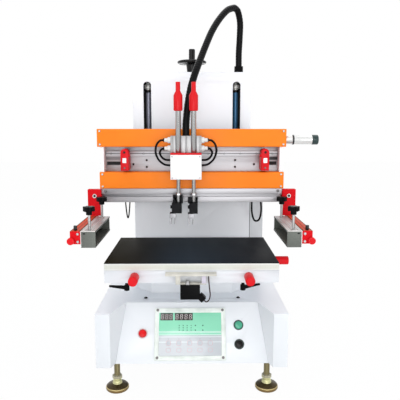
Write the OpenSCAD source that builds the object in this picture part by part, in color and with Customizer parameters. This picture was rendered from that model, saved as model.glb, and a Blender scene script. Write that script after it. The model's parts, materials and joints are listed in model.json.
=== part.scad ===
// Bench-top flat screen printing machine: cabinet on levelling feet, vacuum table,
// lifting column and a printing head with a traversing squeegee carriage.
// x runs to the right, y to the back and z up; all lengths are in millimetres.

/* [Cabinet] */
// Width of the cabinet
base_w = 500; // [490:5:560]
// Depth of the cabinet
base_d = 580; // [540:10:680]
// Height of the cabinet body
base_h = 146; // [130:2:180]
// Width of each wing beside the control panel, at its front end
wing_w = 38; // [30:1:44]
// How far the top edge of the control panel sits behind the wings
panel_set_back = 90; // [80:2:110]
// How far the panel leans back over its height
panel_lean = 67; // [50:1:75]
// How far each inner wing wall runs inwards over the set-back
wing_taper = 31; // [15:1:40]
// Thickness of the control panel plate
panel_t = 3; // [2:0.5:5]
// How far the cabinet stands out before the table
base_reach = 15; // [5:1:25]
// Diameter of the holes in the deck
deck_hole_d = 9; // [6:0.5:12]
// Distance between the holes in the deck
deck_hole_pitch = 260; // [230:5:280]
// Distance of the deck holes behind the cabinet's front
deck_hole_back = 125; // [110:1:135]
// Depth of the deck holes
deck_hole_depth = 12; // [8:1:20]

/* [Levelling feet] */
// Clear height under the cabinet
foot_h = 82; // [70:1:110]
// Diameter of a foot pad
pad_d = 62; // [50:1:70]
// Height of a foot pad
pad_h = 17; // [12:1:24]
// Diameter of a foot stem
stem_d = 16; // [12:1:20]
// Height of the lock nut on a foot stem
nut_h = 10; // [8:1:14]
// Distance of the feet from the sides of the cabinet
foot_inset = 47; // [44:1:60]

/* [Controls] */
// Width of the display bezel
bezel_w = 192; // [180:1:200]
// Height of the display bezel along the panel
bezel_h = 137; // [130:1:138]
// Thickness of the display bezel
bezel_t = 6; // [5:0.5:10]
// How far the bezel stands to the left of the panel's middle
bezel_left = 5; // [-5:1:8]
// Depth of the window's seat above the back of the bezel
window_seat = 3; // [2:0.5:3]
// Thickness of the display window
window_t = 2; // [1:0.5:2]
// Width of the display window
window_w = 168; // [150:1:170]
// Height of the display window
window_h = 112; // [90:1:114]
// Diameter of a push button cap
button_d = 21; // [18:0.5:24]
// Width of the collar ring around a push button
collar_rim = 3; // [2:0.5:5]
// Height of a push button collar
collar_h = 3; // [2:0.5:5]
// How far a push button stands out of its collar
button_rise = 7; // [5:0.5:12]
// Travel of a push button
button_travel = 3; // [2:0.5:4]

/* [Table] */
// Width of the printing table
table_w = 450; // [430:5:460]
// Depth of the printing table
table_d = 300; // [280:5:310]
// Thickness of the layered table board
board_t = 18; // [15:0.5:24]
// Thickness of the black top sheet
skin_t = 2; // [1:0.5:3]
// Height of the vacuum box under the board
vacuum_h = 33; // [30:1:40]
// Height of the table top above the deck
table_rise = 132; // [126:1:150]
// Width of the pedestal front
pedestal_w = 234; // [200:2:250]
// Length of the bevel on the pedestal's front corners
pedestal_bevel = 44; // [20:1:60]
// Thickness of the slide under the table
slide_t = 10; // [8:0.5:14]
// Diameter of the red adjusting knobs
adjust_d = 24; // [20:0.5:26]
// Length of the red adjusting knobs
adjust_l = 46; // [40:1:55]
// Distance between the two front adjusting knobs
adjust_pitch = 292; // [270:2:310]
// Gap between an adjusting knob and the table
adjust_gap = 6; // [5:0.5:10]
// Diameter of an adjusting knob's shaft
adjust_shaft_d = 8; // [6:0.5:10]
// Length of a table lock lever
lever_l = 46; // [30:1:55]
// Distance between the two table lock levers' pivots
lever_pitch = 340; // [320:2:400]
// Width of the shelf over the vacuum valve
shelf_w = 130; // [110:2:150]
// Depth of the shelf over the vacuum valve
shelf_d = 25; // [22:1:32]
// Width of the vacuum valve
valve_w = 50; // [40:1:54]
// Height of the vacuum valve
valve_h = 37; // [30:1:40]

/* [Column] */
// Width of the column
column_w = 368; // [360:2:390]
// Depth of the column
column_d = 200; // [180:5:220]
// Height of the column above the deck
column_h = 646; // [640:2:700]
// Thickness of the column sheet
sheet_t = 3; // [2:0.5:5]
// Width of the guide slots
slot_w = 24; // [24:0.5:30]
// Distance between the guide slots
slot_pitch = 278; // [270:1:290]
// Length of the guide slots
slot_l = 345; // [340:1:360]
// Distance of the slot tops below the column top
slot_drop = 29; // [20:1:34]
// Diameter of the guide rods
guide_d = 16; // [12:1:20]
// Distance of the guide rods behind the column front
guide_back = 42; // [38:1:60]
// Distance of the column behind the table
column_gap = 40; // [30:1:50]
// Width of the side box
side_box_w = 52; // [40:1:60]
// Depth of the side box
side_box_d = 110; // [80:2:130]
// Height of the side box
side_box_h = 330; // [280:5:380]

/* [Handwheel and hose] */
// Diameter of the handwheel
wheel_d = 93; // [80:1:110]
// Height of the handwheel rim centre above the column
wheel_rise = 34; // [30:1:45]
// Thickness of the handwheel rim
wheel_rim = 9; // [6:0.5:12]
// Diameter of the lifting screw
screw_d = 18; // [14:1:24]
// Diameter of the air hose
hose_d = 19; // [16:0.5:20]

/* [Head] */
// Height of the lower beam above the table top, with the head as shown
beam_rise = 129; // [120:1:150]
// Length of the beam covers
beam_w = 530; // [520:5:560]
// How much further the upper cover reaches at each end
cover_overhang = 5; // [0:0.5:8]
// Height of the upper cover
upper_cover_h = 51; // [46:1:60]
// Height of the lower cover
lower_cover_h = 48; // [44:1:54]
// Height of the opening between the covers
cover_gap = 72; // [70:1:80]
// Distance of the covers behind the middle of the table
beam_set_back = 37; // [35:1:44]
// Depth of the covers
cover_d = 38; // [36:1:44]
// Thickness of the cover sheet
cover_t = 2.5; // [1.5:0.5:4]
// Side of the lower beam's square section
extrusion_s = 40; // [36:1:42]
// Depth of the box beam behind the covers
box_d = 65; // [50:1:70]
// Thickness of the end cheeks
cheek_t = 11; // [9:1:16]
// Bend radius of the cover sheet
bend_r = 4; // [3:0.5:6]
// Width of the linear rail
rail_w = 15; // [12:1:18]
// Height of the linear rail's section
rail_t = 12; // [10:0.5:13]
// Diameter of the drive cylinder
drive_d = 28; // [24:1:32]
// Length of the drive cylinder outside the beam
drive_l = 99; // [80:1:110]
// Width of an end stop
stop_w = 22; // [18:1:26]
// Length of a rubber bumper
bumper_l = 4; // [2:0.5:5]

/* [Screen clamps] */
// Distance between the inner sides of the frame channels
channel_gap = 476; // [470:2:490]
// Width of a frame channel
channel_w = 37; // [34:1:40]
// Height of a frame channel
channel_h = 42; // [38:1:46]
// Distance of a frame channel's rear end before the covers
channel_clear = 7; // [4:1:12]
// Wall thickness of a frame channel
channel_t = 5; // [3:0.5:6]
// Height of the channels above the table top
channel_rise = 48; // [46:1:60]
// How far the channels and arms reach out before the table
channel_reach = 32; // [20:1:40]
// Width of a red arm bar
arm_w = 26; // [22:1:30]
// Height of a red arm bar
arm_h = 33; // [28:1:36]
// Diameter of the clamping knobs
clamp_knob_d = 30; // [26:1:32]
// Height of the clamping knobs above the channels
clamp_rise = 53; // [48:1:56]
// Diameter of the clamping studs
stud_d = 7; // [6:0.5:8]
// Number of grips around a clamping knob
clamp_grips = 6; // [5:1:8]
// Height of a clamping knob
clamp_h = 12; // [9:0.5:14]

/* [Carriage] */
// Width of the carriage
carriage_w = 86; // [84:1:92]
// Where the middle of the carriage stands, to the left of the machine's middle
carriage_x = -16; // [-40:1:40]
// Distance between the two lifting rods
rod_pitch = 43; // [42:0.5:46]
// Diameter of the lower rods
rod_d = 11; // [9:0.5:13]
// Diameter of the upper tubes on the rods
tube_d = 15; // [13:0.5:16]
// Diameter of the red caps
cap_d = 25; // [22:0.5:26]
// Height of the twin cylinder block
cylinder_h = 47; // [44:1:52]
// Height of the guide block
guide_h = 68; // [60:1:72]
// Depth of the guide block
guide_d_y = 47; // [44:1:50]
// Thickness of the red plate under the cylinders
seat_t = 5; // [4:0.5:8]
// Travel of the lifting rods
rod_travel = 30; // [20:1:30]
// Height of a red cap's body
cap_h = 54; // [45:1:60]
// Height of a red cap's neck
cap_neck_h = 24; // [15:1:30]
// Length of a fork under a rod clamp
fork_l = 30; // [24:1:34]
// Width of a fork
fork_w = 18; // [16:0.5:20]

/* [Hidden] */
$fn = 48;
eps = 1;
run_gap = 0.05;
seat_gap = 0.3;
part_gap = 2;

// heights above the floor
deck_z = foot_h + base_h;
table_z = deck_z + table_rise;
board_z = table_z - skin_t - board_t;
vacuum_z = board_z - vacuum_h;
column_z = deck_z + column_h;
lower_beam_z = table_z + beam_rise;
lower_cover_z = lower_beam_z + extrusion_s;
gap_z = lower_cover_z + lower_cover_h;
upper_cover_z = gap_z + cover_gap;
beam_top_z = upper_cover_z + upper_cover_h;
channel_z = table_z + channel_rise;

// places along y, from the middle of the table
base_front_y = -table_d / 2 - base_reach;
base_back_y = base_front_y + base_d;
panel_foot_y = base_front_y + panel_set_back - panel_lean;
column_y = table_d / 2 + column_gap;
guide_y = column_y + guide_back;
cover_y = beam_set_back;
body_y = cover_y + cover_d;
beam_back_y = body_y + box_d;
channel_front_y = -table_d / 2 - channel_reach;
rail_z = upper_cover_z - rail_w - 13;

// the lean of the control panel, its length along the slope and what sits on it
panel_angle = atan(panel_lean / base_h);
panel_run = panel_t / cos(panel_angle);
wing_in_x = base_w / 2 - wing_w;
bezel_v = 76;
button_hole_d = button_d + 1;
collar_d = button_d + 2 * collar_rim;
cap_bevel = 4;
stem_in = panel_t + 1;
button_pocket = stem_in + button_travel + 10;
red_spot = [-bezel_w / 2 - 37, bezel_v + 2];
green_spot = [bezel_w / 2 + 30, bezel_v + 23];
black_spot = [bezel_w / 2 + 31, bezel_v - 27];
button_spots = [red_spot, green_spot, black_spot];
deck_hole_y = base_front_y + deck_hole_back;

// table parts
pedestal_y = 3;
adjust_shaft_in = 12;
lever_y = -table_d / 2 + 18;
lever_inset = 36;
adjust_z = vacuum_z + vacuum_h / 2 + 2;
shelf_t = 5;
shelf_x = -2;
shelf_y = -table_d / 2 - shelf_d;
shelf_z = board_z - 3 - shelf_t;
leg_t = 3;
leg_h = 20;
leg_w = 12;
leg_out_x = 39;
valve_x = -29;
valve_out = 4;
valve_z = shelf_z - leg_h - leg_t - valve_h;
elbow_w = 18;
elbow_t = 16;

// arms, channels and clamps
channel_in_x = channel_gap / 2;
channel_out_x = channel_in_x + channel_w;
arm_out_x = channel_out_x + arm_w;
arm_z = channel_z + channel_h - arm_h;
arm_back_y = cover_y + 19;
arm_plate_t = 20;
arm_screw_d = 18;
arm_screw_l = 10;
arm_screw_x = arm_out_x - 3;
top_screw_d = 9;
clamp_x = channel_in_x + channel_w / 2 - 1;
clamp_front_y = channel_front_y + 18;
channel_back_y = cover_y - channel_clear;
clamp_rear_y = channel_back_y - 23;
stud_in = channel_t + 10;
clamp_neck_d = clamp_knob_d * 0.5;
clamp_neck_h = 9;

// carriage on its rail between the stops
rod_left_x = carriage_x - rod_pitch / 2;
rod_right_x = carriage_x + rod_pitch / 2;
carriage_left_x = carriage_x - carriage_w / 2;
stop_left_x = 191;
stop_right_x = 209;
stop_y = cover_y - 14;
stop_margin = 5;
bumper_d = 8;
guide_front_y = -17;
guide_back_y = guide_front_y + guide_d_y;
guide_z = gap_z - 16;
seat_z = guide_z + guide_h;
cylinder_z = seat_z + seat_t;
cylinder_top_z = cylinder_z + cylinder_h;
cylinder_front_y = -2;
slider_h = 8;
slider_front_y = body_y - rail_t - 3;
slider_inset = 8;
plate_t = 3;
tube_end_z = seat_z - 2;
counterbore_z = tube_end_z - rod_travel - 3;
cap_z = cylinder_top_z + rod_travel + 38;
cap_bevel_h = 12;
cap_neck_d = cap_d - 12;
rod_bottom_z = lower_beam_z + 4;
fork_slot_w = 7;

// end of the drive cylinder
drive_y = cover_y + 16;
drive_z = upper_cover_z + 20;
drive_neck_l = 26;
drive_ring_l = 5;
drive_cap_l = 18;

// the column's bushings and the head's brackets on the guide rods
bush_d = guide_d + 14;
bush_top_z = column_z - 48;
bush_h = 12;
bush_foot_h = 16;
bracket_t = slot_w - 10;
bracket_low_z = lower_cover_z + 30;
bracket_top_z = upper_cover_z + 40;
bracket_boss_d = guide_d + 20;

// how far the machine reaches each way, to set the frame's origin under its middle
reach_right = beam_w / 2 + drive_l;
reach_left = arm_screw_x + arm_screw_d / 2;
reach_front = table_d / 2 + adjust_gap + adjust_l;
centre_x = (reach_right - reach_left) / 2;
centre_y = (base_back_y - reach_front) / 2;

module in_frame() {
    translate([-centre_x, -centre_y, 0]) children();
}

module both_sides() {
    children();
    mirror([1, 0, 0]) children();
}

// children stand on the sloping panel: x right, y up the slope, z out of it
module on_panel(spot = [0, 0], out = 0) {
    translate([0, panel_foot_y, foot_h]) rotate([90 - panel_angle, 0, 0])
        translate([spot[0], spot[1], out]) children();
}

// a box between two values along each axis
module block(x, y, z) {
    translate([x[0], y[0], z[0]]) cube([x[1] - x[0], y[1] - y[0], z[1] - z[0]]);
}

// a bar with the given outline in y and z, from one x to the other
module along_x(x0, x1) {
    translate([x0, 0, 0]) rotate([90, 0, 90]) linear_extrude(x1 - x0) children();
}

// plan of the opening between the wings, shrunk by a margin
module recess_plan(margin = 0) {
    lead = 3;
    far = panel_set_back + 20;
    slope = wing_taper / panel_set_back;
    x0 = wing_in_x - margin + slope * lead;
    x1 = wing_in_x - margin - slope * far;
    polygon([[-x0, base_front_y - lead], [x0, base_front_y - lead], [x1, base_front_y + far],
        [-x1, base_front_y + far]]);
}

// side view of the slab between two distances from the panel's face
module panel_side(from, to) {
    y0 = panel_foot_y;
    polygon([[y0 + from - 0.5 * panel_lean, foot_h - 0.5 * base_h],
        [y0 + to - 0.5 * panel_lean, foot_h - 0.5 * base_h],
        [y0 + to + 1.5 * panel_lean, foot_h + 1.5 * base_h],
        [y0 + from + 1.5 * panel_lean, foot_h + 1.5 * base_h]]);
}

module base_cabinet() {
    color("white") in_frame() difference() {
        block([-base_w / 2, base_w / 2], [base_front_y, base_back_y], [foot_h, deck_z]);
        intersection() {
            translate([0, 0, foot_h - eps]) linear_extrude(base_h + 2 * eps) recess_plan();
            along_x(-base_w, base_w) panel_side(-3 * panel_set_back, panel_run);
        }
        for (side = [-1, 1])
            translate([side * deck_hole_pitch / 2, deck_hole_y, deck_z - deck_hole_depth])
                cylinder(d = deck_hole_d, h = deck_hole_depth + eps);
        for (spot = button_spots)
            on_panel(spot, -button_pocket) cylinder(d = collar_d, h = button_pocket);
    }
}

module control_panel() {
    color("white") in_frame() difference() {
        union() {
            intersection() {
                translate([0, 0, foot_h]) linear_extrude(base_h) recess_plan(seat_gap);
                along_x(-base_w, base_w) panel_side(0, panel_run);
            }
            for (spot = button_spots)
                on_panel(spot, -panel_t / 2) cylinder(d = collar_d, h = collar_h + panel_t / 2);
        }
        for (spot = button_spots)
            on_panel(spot, -button_pocket) cylinder(d = button_hole_d, h = button_pocket + collar_h + eps);
    }
}

module display_bezel() {
    color("white") in_frame() on_panel([-bezel_left, bezel_v]) difference() {
        translate([-bezel_w / 2, -bezel_h / 2, 0]) cube([bezel_w, bezel_h, bezel_t]);
        translate([-window_w / 2, -window_h / 2, window_seat]) cube([window_w, window_h, bezel_t]);
    }
}

module display_window() {
    color("aquamarine") in_frame() on_panel([-bezel_left, bezel_v], window_seat)
        translate([-window_w / 2, -window_h / 2, 0]) cube([window_w, window_h, window_t]);
}

// a turned pad, collar and stem with a hexagonal lock nut
module levelling_foot() {
    collar_z = pad_h + 7;
    collar_r = stem_d / 2 + 4;
    rotate_extrude() polygon([[0, 0], [pad_d / 2 - 2, 0], [pad_d / 2, 3], [pad_d / 2, pad_h * 0.5],
        [pad_d / 2 - 4, pad_h * 0.75], [collar_r + 1, pad_h], [collar_r, collar_z],
        [stem_d / 2, collar_z + 4], [stem_d / 2, foot_h], [0, foot_h]]);
    translate([0, 0, collar_z + 6]) cylinder(d = stem_d * 1.7, h = nut_h, $fn = 6);
}

module levelling_feet() {
    color("darkkhaki") in_frame() for (y = [base_front_y + foot_inset, base_back_y - foot_inset])
        both_sides() translate([base_w / 2 - foot_inset, y, 0]) levelling_foot();
}

// bevelled in plan at the front corners
module table_pedestal() {
    back_y = table_d / 2 - 6;
    half = pedestal_w / 2;
    wide = half + pedestal_bevel;
    color("white") in_frame() translate([0, 0, deck_z]) linear_extrude(vacuum_z - slide_t - deck_z)
        polygon([[-half, pedestal_y], [half, pedestal_y], [wide, pedestal_y + pedestal_bevel], [wide, back_y],
            [-wide, back_y], [-wide, pedestal_y + pedestal_bevel]]);
}

module cross_slide() {
    inset = 20;
    half = pedestal_w / 2 + 3;
    color("gray") in_frame()
        block([-half, half], [inset, table_d / 2 - inset], [vacuum_z - slide_t, vacuum_z]);
}

// folded sheet, open at the front and below, with a hole for the lifting screw
module column_housing() {
    x = column_w / 2;
    color("gainsboro") in_frame() difference() {
        block([-x, x], [column_y + sheet_t, column_y + column_d], [deck_z, column_z]);
        block([-x + sheet_t, x - sheet_t], [column_y, column_y + column_d - sheet_t],
            [deck_z - eps, column_z - sheet_t]);
        translate([0, guide_y, column_z - 2 * sheet_t]) cylinder(d = screw_d + eps, h = 4 * sheet_t);
    }
}

module guide_slot(x) {
    z0 = column_z - slot_drop - slot_l;
    translate([x, column_y - eps, 0]) rotate([-90, 0, 0]) {
        translate([-slot_w / 2, -z0 - slot_l + slot_w / 2, 0])
            cube([slot_w, slot_l - slot_w, sheet_t + 2 * eps]);
        for (z = [z0 + slot_w / 2, z0 + slot_l - slot_w / 2])
            translate([0, -z, 0]) cylinder(d = slot_w, h = sheet_t + 2 * eps);
    }
}

module column_front() {
    x = column_w / 2;
    color("gainsboro") in_frame() difference() {
        block([-x, x], [column_y, column_y + sheet_t], [deck_z, column_z]);
        guide_slot(-slot_pitch / 2);
        guide_slot(slot_pitch / 2);
    }
}

module guide_rods() {
    color("silver") in_frame() both_sides() translate([slot_pitch / 2, guide_y, 0]) {
        translate([0, 0, deck_z]) cylinder(d = guide_d, h = column_h - sheet_t);
        translate([0, 0, bush_top_z]) cylinder(d = bush_d, h = bush_h);
        translate([0, 0, deck_z]) cylinder(d = bush_d, h = bush_foot_h);
    }
}

module side_box() {
    x = column_w / 2;
    y = column_y + 60;
    color("whitesmoke") in_frame()
        block([x, x + side_box_w], [y, y + side_box_d], [deck_z, deck_z + side_box_h]);
}

module hose_socket() {
    nut = 6;
    color("dimgray") in_frame() translate([socket_x, socket_y, column_z]) {
        cylinder(d = hose_d + 15, h = nut, $fn = 6);
        translate([0, 0, nut]) cylinder(d = hose_d + 9, h = socket_h - nut);
    }
}

// rim, dished web and hub turned in one, on the lifting screw
module handwheel() {
    rim_r = wheel_d / 2 - wheel_rim / 2;
    hub_r = screw_d / 2 + 6;
    web = 2.5;
    nut_d = 20;
    color("black") in_frame() translate([0, guide_y, column_z]) {
        translate([0, 0, wheel_rise]) rotate_extrude() translate([rim_r, 0]) circle(d = wheel_rim, $fn = 24);
        rotate_extrude() polygon([[0, seat_gap], [hub_r, seat_gap], [hub_r + 3, wheel_rise - 8],
            [rim_r, wheel_rise - web], [rim_r, wheel_rise + web], [hub_r, wheel_rise],
            [hub_r, wheel_rise + 3],
            [nut_d / 2, wheel_rise + 6], [nut_d / 2, wheel_rise + 38], [nut_d / 2 - 2, wheel_rise + 40],
            [0, wheel_rise + 40]]);
        translate([0, 0, -40]) cylinder(d = screw_d, h = 45);
    }
}

module table_board() {
    color("wheat") in_frame() block([-table_w / 2, table_w / 2], [-table_d / 2, table_d / 2],
        [board_z, board_z + board_t]);
}

module table_skin() {
    color("black") in_frame() block([-table_w / 2, table_w / 2], [-table_d / 2, table_d / 2],
        [table_z - skin_t, table_z]);
}

module vacuum_box() {
    bore_d = adjust_shaft_d + 2 * run_gap;
    color("white") in_frame() difference() {
        block([-table_w / 2, table_w / 2], [-table_d / 2, table_d / 2], [vacuum_z, board_z]);
        for (side = [-1, 1]) translate([side * adjust_pitch / 2, -table_d / 2 + adjust_shaft_in, adjust_z])
            rotate([90, 0, 0]) cylinder(d = bore_d, h = adjust_shaft_in + eps);
        translate([table_w / 2 - adjust_shaft_in, 0, adjust_z]) rotate([0, 90, 0])
            cylinder(d = bore_d, h = adjust_shaft_in + eps);
    }
}

// a turned knob along +z with its shaft behind it, the seat at z = 0
module adjust_knob() {
    r = adjust_d / 2;
    shaft_r = adjust_shaft_d / 2;
    bevel = 1.5;
    far = adjust_gap + adjust_l;
    color("red") rotate_extrude() polygon([[0, 1 - adjust_shaft_in], [shaft_r, 1 - adjust_shaft_in],
        [shaft_r, adjust_gap], [r - bevel, adjust_gap], [r, adjust_gap + bevel], [r, far - bevel],
        [r - bevel, far], [0, far]]);
}

module front_knob(side) {
    in_frame() translate([side * adjust_pitch / 2, -table_d / 2, adjust_z]) rotate([90, 0, 0]) adjust_knob();
}

module adjust_knob_left() { front_knob(-1); }

module adjust_knob_right() { front_knob(1); }

module adjust_knob_side() {
    in_frame() translate([table_w / 2, 0, adjust_z]) rotate([0, 90, 0]) adjust_knob();
}

// a tapered handle on a short stud under the vacuum box
module lock_lever(turn) {
    hub_d = 14;
    drop = 18;
    translate([0, 0, -drop]) {
        cylinder(d = hub_d * 0.6, h = drop);
        translate([0, 0, -hub_d / 2]) cylinder(d = hub_d, h = hub_d);
        rotate([0, 0, turn]) rotate([0, 82, 0]) cylinder(d1 = hub_d * 0.8, d2 = hub_d * 0.4, h = lever_l);
    }
}

module lock_levers() {
    color("black") in_frame() {
        translate([lever_pitch / 2 - lever_inset, lever_y, vacuum_z]) lock_lever(8);
        translate([-lever_pitch / 2, lever_y, vacuum_z]) lock_lever(-172);
    }
}

// a plate on two legs that carry the valve's foot plate
module valve_shelf() {
    foot_z = shelf_z - leg_h;
    leg_y = shelf_y + 4;
    color("wheat") in_frame() {
        block([shelf_x - shelf_w / 2, shelf_x + shelf_w / 2], [shelf_y, -table_d / 2],
            [shelf_z, shelf_z + shelf_t]);
        for (x = [shelf_x - leg_out_x, shelf_x + leg_out_x - leg_w])
            block([x, x + leg_w], [leg_y, leg_y + leg_t], [foot_z - leg_t, shelf_z]);
        block([shelf_x - leg_out_x, shelf_x + leg_out_x], [leg_y, leg_y + 16], [foot_z - leg_t, foot_z]);
    }
}

// a valve body with its plug set at 45 degrees
module vacuum_valve() {
    y0 = shelf_y - valve_out;
    color("black") in_frame() {
        block([valve_x, valve_x + valve_w], [y0, -table_d / 2 - 3], [valve_z, valve_z + valve_h]);
        translate([valve_x + valve_w, y0 + 12, valve_z + 6]) rotate([0, 45, 0])
            translate([-2, -elbow_w / 2, -elbow_t / 2]) cube([16, elbow_w, elbow_t]);
    }
}

// a push button cap with its stem behind the panel
module push_button(spot) {
    top = collar_h + button_rise;
    in_frame() on_panel(spot) rotate_extrude() polygon([[0, -stem_in], [button_d / 2, -stem_in],
        [button_d / 2, top - cap_bevel], [button_d / 2 - 2, top], [0, top]]);
}

module red_button() { color("red") push_button(red_spot); }

module green_button() { color("mediumseagreen") push_button(green_spot); }

module black_button() { color("black") push_button(black_spot); }

// a box section with a short groove in its face at each end
module beam_body() {
    x = beam_w / 2 - cheek_t - 2;
    z0 = lower_cover_z + 8;
    z1 = beam_top_z - 6;
    wall = 10;
    groove_z = gap_z + 18;
    color("silver") in_frame() difference() {
        block([-x, x], [body_y, beam_back_y], [z0, z1]);
        block([-x - eps, x + eps], [body_y + 12, beam_back_y - 8], [z0 + wall, z1 - wall]);
        for (ends = [[-x - eps, -stop_left_x], [stop_right_x, x + eps]])
            block(ends, [body_y - eps, body_y + 4], [groove_z, groove_z + wall]);
    }
}

// a rectangle from the front at y0 with both front corners rounded
module round_front(y0, y1, z0, z1, r) {
    translate([y0 + r, z0]) square([y1 - y0 - r, z1 - z0]);
    translate([y0, z0 + r]) square([r + eps, z1 - z0 - 2 * r]);
    for (z = [z0 + r, z1 - r]) translate([y0 + r, z]) circle(r = r);
}

// a cover folded from sheet, open at the back
module beam_cover(z, h, x) {
    t = cover_t;
    color("darkorange") in_frame() along_x(-x, x) difference() {
        round_front(cover_y, body_y, z, z + h, bend_r);
        round_front(cover_y + t, body_y + eps, z + t, z + h - t, max(bend_r - t, 0.5));
    }
}

module upper_cover() { beam_cover(upper_cover_z, upper_cover_h, beam_w / 2 + cover_overhang); }

module lower_cover() { beam_cover(lower_cover_z, lower_cover_h, beam_w / 2); }

// end plates notched for the covers' inner flanges
module end_cheeks() {
    x1 = beam_w / 2 - part_gap;
    x0 = x1 - cheek_t;
    y0 = cover_y + bend_r;
    color("white") in_frame() both_sides() difference() {
        block([x0, x1], [y0, beam_back_y], [lower_cover_z + cover_t, beam_top_z - cover_t]);
        for (z = [gap_z - cover_t, upper_cover_z])
            block([x0 - eps, x1 + eps], [y0 - eps, body_y], [z, z + cover_t]);
    }
}

module linear_rail() {
    x = beam_w / 2 - cheek_t - 4;
    color("lightgray") in_frame() block([-x, x], [body_y - rail_t, body_y], [rail_z, rail_z + rail_w]);
}

// one undercut slot of the lower beam's section, opening along -y at the origin
module slot_outline(s) {
    mouth = s * 0.2;
    inner = s * 0.4;
    lip = s * 0.12;
    translate([-eps, -mouth / 2]) square([lip + 2 * eps, mouth]);
    translate([lip, -inner / 2]) square([lip * 1.3, inner]);
}

// a square aluminium section with an undercut slot in front, behind and below
module lower_beam() {
    x = beam_w / 2 - 3;
    s = extrusion_s;
    y = cover_y + 5 + s / 2;
    color("silver") in_frame() along_x(-x, x) translate([y, lower_beam_z + s / 2]) difference() {
        square(s, center = true);
        for (turn = [0, 90, 180]) rotate(turn) translate([-s / 2, 0]) slot_outline(s);
    }
}

// a stop with a rounded top, seated below the rail and fixed to the beam
module end_stop(x, side) {
    r = stop_w / 2;
    z0 = gap_z + stop_margin;
    z1 = upper_cover_z - stop_margin - r;
    block([x - r, x + r], [stop_y, body_y - rail_t - seat_gap], [z0, z1]);
    translate([x, body_y - rail_t - seat_gap, z1]) rotate([90, 0, 0])
        cylinder(r = r, h = body_y - rail_t - seat_gap - stop_y);
    block([x - stop_w / 2, x + stop_w / 2], [stop_y, body_y], [z0, rail_z - seat_gap]);
    translate([x - side * stop_w / 2, stop_y + 10, z0 + 42]) rotate([0, -90 * side, 0])
        cylinder(d = bumper_d, h = bumper_l);
}

module end_stops() {
    color("red") in_frame() {
        end_stop(-stop_left_x, -1);
        end_stop(stop_right_x, 1);
    }
}

// neck, ring, barrel and end cap turned in one
module drive_cylinder() {
    r = drive_d / 2;
    neck_r = r * 0.88;
    end = drive_l + part_gap;
    ring_z = drive_neck_l + drive_ring_l;
    cap_z = end - drive_cap_l;
    color("silver") in_frame() translate([beam_w / 2 - part_gap, drive_y, drive_z]) rotate([0, 90, 0])
        rotate_extrude() polygon([[0, 0], [neck_r, 0], [neck_r, drive_neck_l - 2], [r, drive_neck_l],
            [r, ring_z], [r - 1, ring_z], [r - 1, cap_z], [r, cap_z], [r, end - 2], [r - 2, end], [0, end]]);
}

// arms through the column's slots with their bushings on the guide rods
module lift_brackets() {
    h = bracket_top_z - bracket_low_z;
    x = slot_pitch / 2;
    color("gray") in_frame() both_sides() difference() {
        union() {
            block([x - bracket_t / 2, x + bracket_t / 2], [beam_back_y, guide_y],
                [bracket_low_z, bracket_top_z]);
            translate([x, guide_y, bracket_low_z]) cylinder(d = bracket_boss_d, h = h);
        }
        translate([x, guide_y, bracket_low_z - eps]) cylinder(d = guide_d + 2 * run_gap, h = h + 2 * eps);
    }
}

// a bar along each channel, carried by a plate against the head's cheek
module frame_arms() {
    plate_x = beam_w / 2 - 3;
    plate_y = cover_y - 1;
    color("red") in_frame() both_sides() {
        block([channel_out_x, arm_out_x], [channel_front_y, arm_back_y], [arm_z, arm_z + arm_h]);
        block([plate_x, arm_out_x], [plate_y, plate_y + arm_plate_t],
            [arm_z + arm_h, lower_cover_z - part_gap]);
    }
}

// channels that open inwards and take the screen frame
module frame_channels() {
    x0 = channel_in_x;
    z0 = channel_z;
    y0 = channel_front_y;
    t = channel_t;
    color("darkgray") in_frame() both_sides() difference() {
        block([x0, x0 + channel_w], [y0, channel_back_y], [z0, z0 + channel_h]);
        block([x0 - eps, x0 + channel_w - t], [y0 + t, channel_back_y + eps], [z0 + t, z0 + channel_h - t]);
        for (y = [clamp_front_y, clamp_rear_y])
            translate([clamp_x, y, z0 + channel_h - t - eps])
                cylinder(d = stud_d + 2 * run_gap, h = t + 2 * eps);
    }
}

module arm_screws() {
    top = channel_z + channel_h;
    color("red") in_frame() both_sides() {
        translate([arm_screw_x, channel_front_y, arm_z + 9])
            rotate([90, 0, 0]) cylinder(d = arm_screw_d, h = arm_screw_l);
        translate([channel_out_x + arm_w * 0.55, channel_front_y + 12, top])
            cylinder(d = top_screw_d, h = 12);
    }
}

// plan of a star knob: a core with rounded grips around it
module star_plan(d, grips) {
    grip_d = d * 0.3;
    circle(d = d - grip_d * 0.9);
    for (k = [0 : grips - 1]) rotate(360 * k / grips)
        translate([(d - grip_d) / 2, 0]) circle(d = grip_d, $fn = 20);
}

// a star knob on its stud, which passes the channel's upper flange
module clamp_knob(side, y) {
    star_z = clamp_rise - clamp_h / 2;
    color("black") in_frame() translate([side * clamp_x, y, channel_z + channel_h]) {
        translate([0, 0, -stud_in]) cylinder(d = stud_d, h = stud_in + clamp_rise);
        translate([0, 0, star_z]) linear_extrude(clamp_h) star_plan(clamp_knob_d, clamp_grips);
        translate([0, 0, star_z - clamp_neck_h]) cylinder(d = clamp_neck_d, h = clamp_neck_h + eps);
    }
}

module clamp_left_front() { clamp_knob(-1, clamp_front_y); }

module clamp_left_rear() { clamp_knob(-1, clamp_rear_y); }

module clamp_right_front() { clamp_knob(1, clamp_front_y); }

module clamp_right_rear() { clamp_knob(1, clamp_rear_y); }

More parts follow.
